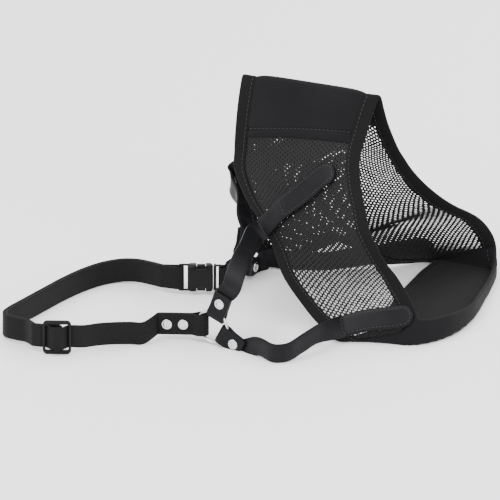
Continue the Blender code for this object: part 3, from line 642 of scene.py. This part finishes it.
# ---------------------------------------------------------------------------
# Chin band. Wide knit band that lies flat under the jaw and turns up at the
# nose opening, with its long edges rolled and its ends sewn to the tapes.
# ---------------------------------------------------------------------------
whole = lambda spans: (0.0 * spans, 1.0 + 0.0 * spans)
rolled = lambda e, d: 1.5 * np.sqrt(
    np.clip(1 - (1 - np.clip(np.minimum(d, e * 2) / 1.5, 0, 1)) ** 2, 0.02, 1)
)
chin, ts, s = slab(
    "chin_band_knit", CHIN0, CHIN1, 130, whole,
    rolled, lambda e, d: -rolled(e, d) + 0.25 * np.exp(-((d - 6) / 1.1) ** 2),
)
chin.data.materials.append(knit)
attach(chin, "muzzle")
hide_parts("chin_band")
lines = []
for edge in (0, 1):
    tt = np.linspace(CHIN0 + 0.15, CHIN1 - 0.15, 90)
    f = 6 / sleeve.span(tt) if not edge else 1 - 6 / sleeve.span(tt)
    lines.append((sleeve.at(tt, f, np.full(90, -1.3)), -sleeve.mix(sleeve.n, tt, f)))
chin_seams = stitched("chin_band_stitches", lines, 3.0, 2.3, 0.5, thread)
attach(chin_seams, "muzzle")

# ---------------------------------------------------------------------------
# Plated steel rings and rivets. Round wire rings, butt-welded and plated. Each
# rivet is a pressed cap with a low dome, a shank and a turned-over back.
# ---------------------------------------------------------------------------
RING_OD, RING_WIRE = 24.4, 2.2
RIGHT_RING, RIGHT_HEADING = np.array((124.3, 70.5, 12.9)), -8.0
LEFT_RING, LEFT_HEADING = np.array((101.0, 177.0, 12.6)), 82.4
WEB_HEADING, WEB_DROP = 12.0, 183.0


def steel_material():
    m, shader, tree = new_material("bright plate")
    smear = mottle(tree, 220.0, 5.0)
    worn(tree, shader, smear, 0.09, 0.3)
    coloured(tree, shader, smear, (0.5, 0.5, 0.51), (0.82, 0.82, 0.84))
    relief(tree, shader, smear, 0.15, 0.0001)
    shader.inputs["Metallic"].default_value = 1.0
    return m


def frame_of(heading, angle):
    """Pull, width and face directions of a strap that leaves a ring at an angle to its heading."""
    h, a = math.radians(heading), math.radians(angle)
    flat = np.array([math.cos(h), math.sin(h), 0])
    up = np.array([0, 0, 1.0])
    pull = flat * math.cos(a) + up * math.sin(a)
    width = -flat * math.sin(a) + up * math.cos(a)
    return pull, width, np.cross(pull, width)


def wire_ring(name, centre, heading, mat):
    flat, up, out = frame_of(heading, 0)
    major, minor = (RING_OD - RING_WIRE) / 2, RING_WIRE / 2
    a = np.linspace(0, 2 * math.pi, 97)[:-1]
    b = np.linspace(0, 2 * math.pi, 21)[:-1]
    # the weld: a faint swelling at one place round the wire
    swell = minor * (1 + 0.05 * np.exp(-((a - 2.2) / 0.06) ** 2))
    r = flat * np.cos(a)[:, None] + up * np.sin(a)[:, None]
    reach = major + swell[:, None] * np.cos(b)[None, :]
    rise = swell[:, None] * np.sin(b)[None, :]
    rings = centre + r[:, None, :] * reach[..., None] + out * rise[..., None]
    ob = swept(name, rings, a * major, b * minor, closed=True)
    ob.data.materials.append(mat)
    return ob


def turned(name, profile, centre, axis, mat, sides=40):
    """Solid of revolution in layout millimetres."""
    axis = unit(axis)
    side = unit(np.cross(axis, (0, 0, 1.0)))
    other = np.cross(axis, side)
    a = np.linspace(0, 2 * math.pi, sides + 1)[:-1]
    rim = side * np.cos(a)[:, None] + other * np.sin(a)[:, None]
    prof = [(max(r, 0.01), h) for r, h in profile]
    rings = np.array([centre + axis * h + rim * r for r, h in prof])
    s = run_of(np.array(prof))
    ob = swept(name, rings, s, a * 2)
    ob.data.materials.append(mat)
    return ob


def rivet(name, centre, axis, stack):
    """Cap, shank and turned back of a rivet through a stack of that thickness."""
    h = stack / 2 + 0.1
    profile = [
        (0, -h - 1.05), (0.9, -h - 1.02), (1.8, -h - 0.88), (2.4, -h - 0.62), (2.6, -h - 0.45),
        (2.75, -h - 0.42), (2.9, -h - 0.52), (3.2, -h - 0.56), (3.45, -h - 0.42), (3.5, -h - 0.2),
        (3.4, -h), (1.5, -h), (1.5, h), (3.3, h), (3.45, h + 0.15), (3.4, h + 0.35), (3.0, h + 0.62),
        (2.3, h + 0.82), (1.7, h + 0.8), (1.3, h + 0.6), (1.15, h + 0.2), (1.1, h - 0.4), (0, h - 0.45),
    ]
    return turned(name, profile, centre, axis, steel)


steel = steel_material()
for name, centre, heading in (
    ("right_ring", RIGHT_RING, RIGHT_HEADING), ("left_ring", LEFT_RING, LEFT_HEADING),
):
    piece = wire_ring(name + "_wire", centre, heading, steel)
    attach(piece, name)
    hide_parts(name)

# ---------------------------------------------------------------------------
# Leather straps. Four bonded-leather straps, folded round the rings and
# riveted, laid on the sleeve and stitched down round their rounded ends.
# ---------------------------------------------------------------------------
LEATHER_T, LEATHER_W, LEATHER_SEWN_W = 1.8, 13.0, 15.0


def leather_material():
    m, shader, tree = new_material("satin black leather")
    place = tree.nodes.new("ShaderNodeUVMap")
    place.uv_map = "cloth"
    grain = node(tree, "ShaderNodeTexVoronoi", Scale=1150.0)
    grain.feature = "F1"
    tree.links.new(place.outputs["UV"], grain.inputs["Vector"])
    crease = mottle(tree, 70.0, 5.0)
    join = tree.nodes.new("ShaderNodeMath")
    join.operation = "MULTIPLY_ADD"
    join.inputs[1].default_value = 0.6
    tree.links.new(crease, join.inputs[0])
    tree.links.new(grain.outputs["Distance"], join.inputs[2])
    relief(tree, shader, join.outputs[0], 0.22, 0.0003)
    worn(tree, shader, crease, 0.3, 0.5)
    coloured(tree, shader, crease, (0.003, 0.003, 0.0035), (0.01, 0.01, 0.012))
    shader.inputs["Specular IOR Level"].default_value = 0.1
    return m


def ring_fold(ring, heading, angle, side, thick, room, tip, lap):
    """Strip laid double: out along one face, round the ring's wire and back along the other."""
    pull, width, normal = frame_of(heading, angle)
    near, far = thick / 2 + 0.15, room / 2 + thick / 2
    neck = RING_OD / 2 + 1.8
    prof = [(lap, near), (neck + 1.6, near), (neck - 0.6, near + (far - near) * 0.3)]
    prof += [(neck - 2.6, far - (far - near) * 0.15), (RING_OD / 2 - 1.2, far)]
    for k in range(7):
        a = math.pi / 2 + math.pi * k / 6
        prof.append((tip + far + far * math.cos(a), far * math.sin(a)))
    prof += [(RING_OD / 2 - 1.2, -far), (neck - 2.6, -far + (far - near) * 0.15)]
    prof += [(neck - 0.6, -near - (far - near) * 0.3), (neck + 1.6, -near), (lap, -near)]
    return [ring + pull * x + normal * y * side for x, y in prof], [width] * len(prof)


def drape(samples, point, off):
    """The nearest place on the sleeve, `off` mm out, and the way out there."""
    p, n = samples
    i = ((p - point) ** 2).sum(1).argmin()
    return point - n[i] * ((point - p[i]) @ n[i]) + n[i] * off, n[i]


def even(columns, gap, passes):
    """Resampled and lightly smoothed rows: the first three columns are the point."""
    columns = np.asarray(columns, float)
    step = np.linalg.norm(np.diff(columns[:, :3], axis=0), axis=1)
    keep = np.concatenate([[True], step > 1e-6])
    columns = columns[keep]
    s = run_of(columns[:, :3])
    at = np.linspace(0, s[-1], max(3, int(s[-1] / gap)))
    out = np.stack([np.interp(at, s, columns[:, k]) for k in range(columns.shape[1])], 1)
    for _ in range(passes):
        out[1:-1] = out[1:-1] * 0.5 + (out[:-2] + out[2:]) * 0.25
    return out, at


def strip(name, rows, at, thick, edge, mat, closed=False):
    """Flat strip with rounded edges along rows of (point, width direction, width)."""
    p, w, wide = rows[:, :3], rows[:, 3:6], rows[:, 6]
    if closed:
        along = unit(np.roll(p, -1, 0) - np.roll(p, 1, 0))
    else:
        along = unit(np.gradient(p, axis=0))
    w = unit(w - along * (w * along).sum(1, keepdims=True))
    face = np.cross(along, w)
    t, r = thick / 2, edge
    shape = [(-1, r, -t), (-1, r * 0.3, -t + r * 0.3), (-1, 0, -t + r), (-1, 0, t - r),
             (-1, r * 0.3, t - r * 0.3), (-1, r, t)]
    shape += [(-0.5, 0, t), (0, 0, t), (0.5, 0, t)]
    shape += [(1, -r, t), (1, -r * 0.3, t - r * 0.3), (1, 0, t - r), (1, 0, -t + r),
              (1, -r * 0.3, -t + r * 0.3), (1, -r, -t)]
    shape += [(0.5, 0, -t), (0, 0, -t), (-0.5, 0, -t)]
    half = np.maximum(wide / 2, edge * 1.5)
    rings = np.stack(
        [p + w * (k * half + d)[:, None] + face * h for k, d, h in shape], 1
    )
    rings[..., 2] = np.maximum(rings[..., 2], 0.05)
    v = [0]
    for i in range(1, len(shape)):
        a, b = shape[i - 1], shape[i]
        v.append(v[-1] + math.hypot((b[0] - a[0]) * half.mean() + b[1] - a[1], b[2] - a[2]))
    ob = swept(name, rings, at, np.array(v), closed=closed)
    ob.data.materials.append(mat)
    return ob, face


def strap(name, ring, heading, angle, side, free, on_panel, t_range, sewn_from, lap=26.0):
    """Leather from its fold at a ring, through free points, to its sewn end on the sleeve."""
    ts = np.linspace(*t_range, 160)
    tt, ff = np.meshgrid(ts, np.linspace(0.01, 0.99, 60), indexing="ij")
    samples = (sleeve.at(tt, ff).reshape(-1, 3), sleeve.mix(sleeve.n, tt, ff).reshape(-1, 3))
    fold, wides = ring_fold(ring, heading, angle, side, LEATHER_T, RING_WIRE + 0.7, 6.5, lap)
    off = BIND_T / 2 + LEATHER_T / 2 + 0.2
    landed, normals = [], []
    for point in resample(np.array(on_panel, float), 11)[0]:
        q, n = drape(samples, point, off)
        landed.append(q)
        normals.append(n)
    landed, normals = np.array(landed), unit(np.array(normals))
    across = unit(np.cross(normals, unit(np.gradient(landed, axis=0))))
    if across[0] @ np.array(free[-1][1]) < 0:
        across = -across
    for i, (q, n, a) in enumerate(zip(landed.copy(), normals, across)):
        one = drape(samples, q + a * LEATHER_SEWN_W / 2, off)[0]
        two = drape(samples, q - a * LEATHER_SEWN_W / 2, off)[0]
        middle = (one + two) / 2
        landed[i] = middle + n * max(0.0, (q - middle) @ n)
        across[i] = unit(one - two)
    pts = [fold[-1]] + [np.array(p, float) for p, w in free] + [landed[0]]
    dirs = [wides[-1]] + [unit(w) for p, w in free] + [across[0]]
    u = np.linspace(0, len(pts) - 1, 10 * (len(pts) - 1) + 1)
    mid, mid_w = spline(pts, u), unit(spline(dirs, u))
    fine = spline(landed, np.linspace(0, 10, 61))
    fine_w = unit(spline(across, np.linspace(0, 10, 61)))
    fine_n = unit(spline(normals, np.linspace(0, 10, 61)))
    p = np.concatenate([fold, mid[1:-1], fine])
    w = np.concatenate([wides, mid_w[1:-1], fine_w])
    rows, at = even(np.concatenate([p, w], 1), 0.8, 2)
    left = at[-1] - at
    r = LEATHER_SEWN_W / 2
    reach = np.linalg.norm(np.diff(fine, axis=0), axis=1).sum()
    grow = np.interp(left, [reach, reach + 30], [LEATHER_SEWN_W, LEATHER_W])
    tip = 2 * np.sqrt(np.clip(r * r - np.clip(r - left, 0, None) ** 2, 0.6, None))
    wide = np.minimum(grow, tip)
    rows = np.concatenate([rows, wide[:, None]], 1)
    tight = np.concatenate([np.arange(0, len(at) - 12), np.linspace(len(at) - 12, len(at) - 1, 34)])
    rows = np.stack([np.interp(tight, np.arange(len(at)), rows[:, k]) for k in range(7)], 1)
    at = np.interp(tight, np.arange(len(at)), at)
    left = at[-1] - at
    tip = 2 * np.sqrt(np.clip(r * r - np.clip(r - left, 0, None) ** 2, 0.3, None))
    rows[:, 6] = np.minimum(rows[:, 6], tip)
    ob, face = strip(name + "_leather", rows, at, LEATHER_T, 0.45, black_leather)
    sign = np.sign((face[-30] * fine_n[-10]).sum())
    inset = 1.9
    body = (left < sewn_from) & (left > inset)
    room = np.sqrt(np.clip((r - inset) ** 2 - np.clip(r - left[body], 0, None) ** 2, 0, None))
    room = np.minimum(room, rows[body, 6] / 2 - inset)
    p, w, f = rows[body, :3], unit(rows[body, 3:6]), face[body] * sign
    high = p + f * (LEATHER_T / 2 + 0.02)
    loop = np.concatenate([high + w * room[:, None], (high - w * room[:, None])[::-1]])
    loop_n = np.concatenate([f, f[::-1]])
    x = np.linspace(-1, 1, 12)[:, None]
    cross = high[0] + w[0] * x * room[0]
    lines = [(loop, loop_n), (cross, np.repeat(f[:1], 12, 0))]
    seam = stitched(name + "_stitches", lines, 2.7, 2.1, 0.5, thread)
    for piece in (ob, seam):
        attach(piece, "muzzle")
    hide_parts(name)
    pull, width, normal = frame_of(heading, angle)
    spot = ring + pull * (RING_OD / 2 + 6.8)
    stud = rivet(name.replace("strap", "rivet") + "_steel", spot, normal * side * -1, 2 * LEATHER_T + 0.3)
    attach(stud, "muzzle")
    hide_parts(name.replace("strap", "rivet"))
    return ob


black_leather = leather_material()
up = (0, 0, 1)
strap(
    "right_lower_strap", RIGHT_RING, RIGHT_HEADING, -27.8, 1,
    [((160, 62.5, 7.2), up), ((172, 56.3, 7.0), up), ((178, 56.6, 7.0), up),
     ((183.5, 62, 7.4), up), ((188, 74, 9.5), up), ((194, 88, 12), up)],
    [(204, 103, 15), (216, 111, 16), (232, 119, 17), (247, 125.5, 19)], (7.5, 13.2), 50,
)
strap(
    "right_upper_strap", RIGHT_RING, RIGHT_HEADING, 70.4, 1,
    [((137, 71.5, 41), (-0.93, 0.05, 0.36)), ((135.5, 83, 46), (-0.92, -0.12, 0.35)),
     ((131, 105, 49), (-0.92, -0.15, 0.36)), ((127, 129, 49), (-0.85, -0.1, 0.5)),
     ((124, 146, 50), (-0.75, 0, 0.65))],
    [(127, 155, 51), (142, 158, 68), (157, 160, 81), (170, 161, 93), (177, 161, 99)], (3.1, 9.0), 50,
)
strap(
    "left_lower_strap", LEFT_RING, LEFT_HEADING, -22.8, -1,
    [((109, 205.5, 7.6), up), ((120, 208.5, 7.3), up), ((133, 211.5, 7.2), up),
     ((147, 216.5, 7.4), up), ((160, 225.5, 8.2), up)],
    [(174, 236.5, 11), (186, 245, 14), (197, 253.5, 17), (206, 260, 18)],
    (T_CHIN1 - 0.5, T_CHIN1 + 3.2), 38,
)
strap(
    "left_upper_strap", LEFT_RING, LEFT_HEADING, 75.5, -1,
    [((99.5, 187, 46), (-0.5, -0.5, 0.6)), ((92.5, 193, 54), (-0.1, -0.1, 1)),
     ((86.2, 199, 61), up), ((86.0, 205, 66), up)],
    [(93.5, 208, 72), (118, 213, 84), (140, 216, 96), (156, 215, 105), (165, 212, 109)],
    (T_END - 7.0, T_END - 2.3), 60,
)

# ---------------------------------------------------------------------------
# Neck webbing. One 16 mm woven strip: sewn round the slider's bar, round the
# neck and through the buckle's socket, back through the slider to the ring.
# ---------------------------------------------------------------------------
WEB_T, WEB_W, SLIDER_T = 1.4, 16.0, 2.2
SLIDER_AT, SLIDER_HEADING = np.array((34.5, 16.0, 12.1)), 20.0
BUCKLE_AT, BUCKLE_HEADING = np.array((67.6, 142.5, 12.0)), 21.6


def web_path():
    s, o = SLIDER_AT, BUCKLE_AT
    s_x, _, s_n = frame_of(SLIDER_HEADING, 0)
    o_x, _, o_n = frame_of(BUCKLE_HEADING, 0)
    s_n, o_n = -s_n, -o_n
    layer = WEB_T / 2 + 0.3
    near = SLIDER_T / 2 + layer
    far = near + WEB_T + 0.3
    mid = [(18, 15.5, 11.7), (10.5, 22, 10.8), (1, 24.5, 10.2), (-6, 27, 9.9), (-9.8, 33, 9.6),
           (-9.6, 42, 9.3), (-7.5, 54, 8.9), (-4, 72, 8.4), (-0.5, 88, 8.2), (3, 103, 8.2),
           (9, 122, 8.2), (17, 138, 8.3), (27, 147.3, 8.8), (38, 149.5, 9.6), (50, 145.5, 11),
           (59, 142, 11.8)]
    line = spline(np.array(mid), np.linspace(0, len(mid) - 1, 90))
    inside = unit(np.cross(unit(np.gradient(line, axis=0)), (0, 0, 1)))
    half = (WEB_T + 0.3) / 2
    outer, inner = line - inside * half, line + inside * half
    turn = [o + o_x * (3.8 + 2.3 * math.cos(a)) - o_n * 2.3 * math.sin(a)
            for a in np.linspace(-math.pi / 2, math.pi / 2, 11)]
    sewn = [s + s_x * x + s_n * y for x, y in
            ((-3.6, -near), (0.4, -near), (1.7, -near), (2.6, -1.4), (2.95, -0.5),
             (2.95, 0.5), (2.6, 1.4), (1.7, near), (0.4, near), (-2.5, near + 0.1),
             (-5.0, near + 0.8), (-7.6, far), (-10.6, far))]
    weave = [s + s_x * x + s_n * y for x, y in
             ((-10.6, near), (-8.2, near), (-7.2, near - 0.2), (-6.4, near - 1.1),
              (-3.3, 0.9 - far), (-2.5, 0.2 - far), (-1.6, -far), (1.6, -far),
              (2.5, 0.2 - far), (3.3, 0.9 - far), (6.4, near - 1.1), (7.2, near - 0.2),
              (8.2, near), (10.6, near))]
    run = ((50, 26, 11.3), (57, 35.5, 10.2), (65, 43, 9.3), (74, 49, 8.6), (82, 53, 8.4))
    run = [np.array(p) for p in run]
    wire = (RING_OD - RING_WIRE) / 2
    centre = RIGHT_RING + frame_of(RIGHT_HEADING, 180)[0] * wire - frame_of(WEB_HEADING, 180)[0] * wire
    fold = ring_fold(centre, WEB_HEADING, WEB_DROP, 1, WEB_T, RING_WIRE + 3.1, 4.3, 38.0)[0][::-1]
    link = [weave[-1]] + run + [fold[0]]
    link = list(spline(link, np.linspace(0, len(link) - 1, 40)))[1:-1]
    path = sewn + list(inner) + turn[::-1] + list(outer[::-1]) + weave + link + fold
    return np.array(path), centre


web_cloth = cloth_material(
    "black webbing", cloth_weave("webbing yarns", 0.0012, 0.0017, 0.16),
    (0.0014, 0.0014, 0.0015), (0.008, 0.008, 0.0085), 0.75, 0.02, 0.9,
)
path, web_centre = web_path()
rows, at = even(np.concatenate([path, np.tile((0, 0, 1.0), (len(path), 1))], 1), 0.7, 2)
wide = WEB_W - np.clip((at - at[-1] + 92) / 16, 0, 1)   # pinched a little where it is sewn round the ring
rows = np.concatenate([rows, wide[:, None]], 1)
web, face = strip("neck_webbing_strip", rows, at, WEB_T, 0.4, web_cloth)
pull, width, normal = frame_of(WEB_HEADING, WEB_DROP)
for d, which in ((21.0, "front"), (32.0, "back")):
    stud = rivet(f"neck_webbing_rivet_{which}_steel", web_centre + pull * d, normal * -1, 2 * WEB_T + 0.3)
    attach(stud, "muzzle")
    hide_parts(f"neck_webbing_rivet_{which}")
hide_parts("neck_webbing")
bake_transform(web)

# ---------------------------------------------------------------------------
# Tail webbing. A short sewn band of the same webbing through the plug's bar
# and round the left ring, closed in the middle by two rows of stitching.
# ---------------------------------------------------------------------------
BUCKLE_L = 34.0


def tail_path():
    o_x = frame_of(BUCKLE_HEADING, 0)[0]
    bar = BUCKLE_AT + o_x * (BUCKLE_L - 1.3)
    ahead = unit((LEFT_RING - bar) * (1, 1, 0))
    side = np.cross(ahead, (0, 0, 1))
    length = np.linalg.norm((LEFT_RING - bar)[:2])
    r0, r1 = 2.5, (RING_WIRE + 1.0 + WEB_T) / 2
    near = (WEB_T + 0.3) / 2
    stop = length - 6.0 - r1
    flare = length - RING_OD / 2 - RING_WIRE
    prof = [(r0 * math.cos(a), r0 * math.sin(a)) for a in np.linspace(math.pi / 2, 1.5 * math.pi, 9)]
    prof += [(2.2, -r0 * 0.85), (4.6, -near), (flare - 2.2, -near), (flare, -r1 * 0.97)]
    prof += [(stop + r1 * math.cos(a), r1 * math.sin(a)) for a in np.linspace(-math.pi / 2, math.pi / 2, 9)]
    prof += [(flare, r1 * 0.97), (flare - 2.2, near), (4.6, near), (2.2, r0 * 0.85)]
    pts = np.array([np.array([bar[0], bar[1], 0]) + ahead * x + side * y for x, y in prof])
    pts[:, 2] = np.interp([p[0] for p in prof], [0, length], [BUCKLE_AT[2], LEFT_RING[2]])
    return pts, ahead, side


pts, ahead, side = tail_path()
around = np.concatenate([pts, pts[:1]])
smooth, at = even(np.concatenate([around, np.tile((0, 0, 1.0), (len(around), 1))], 1), 0.5, 1)
smooth, at = smooth[:-1], at[:-1]
smooth = np.concatenate([smooth, np.full((len(smooth), 1), WEB_W - 1.5)], 1)
tail, _ = strip("tail_webbing_band", smooth, at, WEB_T, 0.4, web_cloth, closed=True)
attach(tail, "muzzle")
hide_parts("tail_webbing")
lines = []
for x in (4.9, 7.1):
    for sgn in (1, -1):
        base = pts[0] * (1, 1, 0) - side * 2.5
        base = base + ahead * x + side * sgn * (WEB_T + 0.17)
        line = np.array([base + (0, 0, z) for z in np.linspace(5.6, 18.8, 12)])
        lines.append((line, np.tile(side * sgn, (12, 1))))
tail_seam = stitched("tail_webbing_stitches", lines, 2.2, 1.7, 0.45, thread)
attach(tail_seam, "muzzle")

# ---------------------------------------------------------------------------
# Slider and side-release buckle. Moulded black acetal with rounded edges and a
# fine spark-eroded surface; the socket is closed over the plug's two prongs.
# ---------------------------------------------------------------------------
def plastic_material():
    m, shader, tree = new_material("moulded black acetal")
    relief(tree, shader, mottle(tree, 1600.0, 3.0), 0.12, 0.0001)
    handled = mottle(tree, 60.0, 3.0)
    worn(tree, shader, handled, 0.28, 0.42)
    coloured(tree, shader, handled, (0.002, 0.002, 0.0022), (0.007, 0.007, 0.0075))
    shader.inputs["Specular IOR Level"].default_value = 0.15
    return m


def round_box(x0, x1, z0, z1, r, n=7):
    """Outline of a box with rounded corners, as points."""
    pts = []
    corners = ((x1 - r, z1 - r, 0), (x0 + r, z1 - r, 90), (x0 + r, z0 + r, 180), (x1 - r, z0 + r, 270))
    for cx, cz, a0 in corners:
        for a in np.linspace(a0, a0 + 90, n):
            pts.append((cx + r * math.cos(math.radians(a)), cz + r * math.sin(math.radians(a))))
    return pts


def plate(outlines, thick, edge, at, heading):
    """Moulded plate from an outline and its holes, in a fitting's own plane, with rounded edges."""
    curve = bpy.data.curves.new("plate", "CURVE")
    curve.dimensions = "2D"
    curve.fill_mode = "BOTH"
    for outline in outlines:
        line = curve.splines.new("POLY")
        line.points.add(len(outline) - 1)
        for point, (x, z) in zip(line.points, outline):
            point.co = (x, z, 0, 1)
        line.use_cyclic_u = True
    curve.extrude = thick / 2 - edge
    curve.bevel_depth = edge
    curve.bevel_resolution = 4
    curve.offset = -edge
    ob = bpy.data.objects.new("plate", curve)
    bpy.context.scene.collection.objects.link(ob)
    depsgraph = bpy.context.evaluated_depsgraph_get()
    mesh = bpy.data.meshes.new_from_object(ob.evaluated_get(depsgraph))
    bpy.data.objects.remove(ob)
    along, up, out = frame_of(heading, 0)
    verts = np.array([v.co for v in mesh.vertices])
    verts = at + along * verts[:, :1] + up * verts[:, 1:2] + out * verts[:, 2:]
    return verts, [tuple(p.vertices) for p in mesh.polygons]


def moulded(name, parts, replaced, body):
    verts, faces = [], []
    for v, f in parts:
        faces += [tuple(i + len(verts) for i in loop) for loop in f]
        verts += list(v)
    ob = mesh_of(name, np.array(verts), faces)
    ob.data.materials.append(acetal)
    ob.data.set_sharp_from_angle(angle=math.radians(35))
    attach(ob, body)
    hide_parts(replaced)
    return ob


acetal = plastic_material()
slots = [round_box(-7.7, -1.2, -9.2, 9.2, 1.0), round_box(1.2, 7.7, -9.2, 9.2, 1.0)]
moulded(
    "slider_moulding",
    [plate([round_box(-9.5, 9.5, -12, 12, 3.0), *slots], SLIDER_T, 0.8, SLIDER_AT, SLIDER_HEADING)],
    "slider_frame", "slider",
)


def notched(x0, x1, z, r, n0, n1, depth):
    """Socket outline: rounded box with a thumb window let into each long side."""
    top = [(n1 + 0.2, z), (n1, z - 0.3), (n1, z - depth), (n0, z - depth), (n0, z - 0.3), (n0 - 0.2, z)]
    box = round_box(x0, x1, -z, z, r)
    quarter = len(box) // 4
    low = [(x, -y) for x, y in top[::-1]]
    return box[:quarter] + top + box[quarter:3 * quarter] + low + box[3 * quarter:]


buckle = (BUCKLE_AT, BUCKLE_HEADING)
moulded(
    "buckle_socket_moulding",
    [
        plate([notched(9.0, 26.0, 9.5, 2.2, 14.9, 21.2, 2.3)], 7.4, 2.0, *buckle),
        plate(
            [round_box(2.6, 11.5, -9.6, 9.6, 1.6), round_box(4.8, 9.6, -8.4, 8.4, 0.8)],
            2.2, 0.7, *buckle,
        ),
    ],
    "buckle_socket", "muzzle",
)
moulded(
    "buckle_plug_moulding",
    [
        plate([round_box(26.3, 28.2, -8.9, 8.9, 0.9)], 5.8, 0.8, *buckle),
        plate(
            [round_box(26.7, 34.0, -8.9, 8.9, 1.2), round_box(28.2, 31.5, -8.2, 8.2, 0.6)],
            2.2, 0.7, *buckle,
        ),
    ],
    "buckle_plug", "muzzle",
)
for side, name in ((1, "upper"), (-1, "lower")):
    outline = [(24.0, -1.2), (24.3, 0), (24.0, 1.2), (21.2, 1.5), (20.9, 1.8), (20.9, 3.8), (20.6, 4.1),
               (15.7, 4.0), (15.2, 3.6), (15.2, -0.8), (15.6, -1.1)]
    outline = [(x, side * (5.2 + d)) for x, d in outline]
    if side < 0:
        outline = outline[::-1]
    moulded(f"buckle_prong_{name}_moulding", [plate([outline], 2.8, 0.35, *buckle)],
            f"buckle_prong_{name}", f"{name}_prong")

# ---------------------------------------------------------------------------
# Floor, light and camera: a pale floor under soft studio light.
# ---------------------------------------------------------------------------
floor_mesh = bpy.data.meshes.new("floor")
floor_mesh.from_pydata([(-4, -4, 0), (4, -4, 0), (4, 4, 0), (-4, 4, 0)], [], [(0, 1, 2, 3)])
floor = bpy.data.objects.new("floor", floor_mesh)
bpy.context.scene.collection.objects.link(floor)
pale, shader, tree = new_material("pale floor")
shader.inputs["Base Color"].default_value = (0.95, 0.95, 0.95, 1)
shader.inputs["Roughness"].default_value = 0.7
floor_mesh.materials.append(pale)

world = bpy.data.worlds.new("studio")
world.use_nodes = True
world.node_tree.nodes["Background"].inputs["Color"].default_value = (1, 1, 1, 1)
world.node_tree.nodes["Background"].inputs["Strength"].default_value = 1.9
bpy.context.scene.world = world


def lamp(name, at, aim, size, power):
    data = bpy.data.lights.new(name, "AREA")
    data.size, data.energy = size, power
    ob = bpy.data.objects.new(name, data)
    bpy.context.scene.collection.objects.link(ob)
    ob.location = at
    ob.rotation_euler = (Vector(aim) - Vector(at)).to_track_quat("-Z", "Y").to_euler()


lamp("key", (-0.3, -0.5, 0.9), (0, 0, 0.05), 0.6, 8)
lamp("fill", (0.8, -0.3, 0.5), (0, 0, 0.05), 0.7, 4)
lamp("rim", (0.2, 0.8, 0.7), (0, 0, 0.08), 0.6, 6)

camera_data = bpy.data.cameras.new("camera")
camera = bpy.data.objects.new("camera", camera_data)
bpy.context.scene.collection.objects.link(camera)
bpy.context.scene.camera = camera
camera_data.type = "ORTHO"
camera_data.ortho_scale = 0.33333
a, e = math.radians(22), math.radians(22.5)
right = Vector((math.cos(a), math.sin(a), 0))
ahead = Vector((-math.sin(a) * math.cos(e), math.cos(a) * math.cos(e), -math.sin(e)))
up = right.cross(ahead)
centre = right * 0.166667 + up * 0.07 - Vector((HOME * 0.001).tolist())
camera.matrix_world = Matrix.Translation(centre - ahead * 2.0) @ Matrix(
    ((right.x, up.x, -ahead.x), (right.y, up.y, -ahead.y), (right.z, up.z, -ahead.z))
).to_4x4()
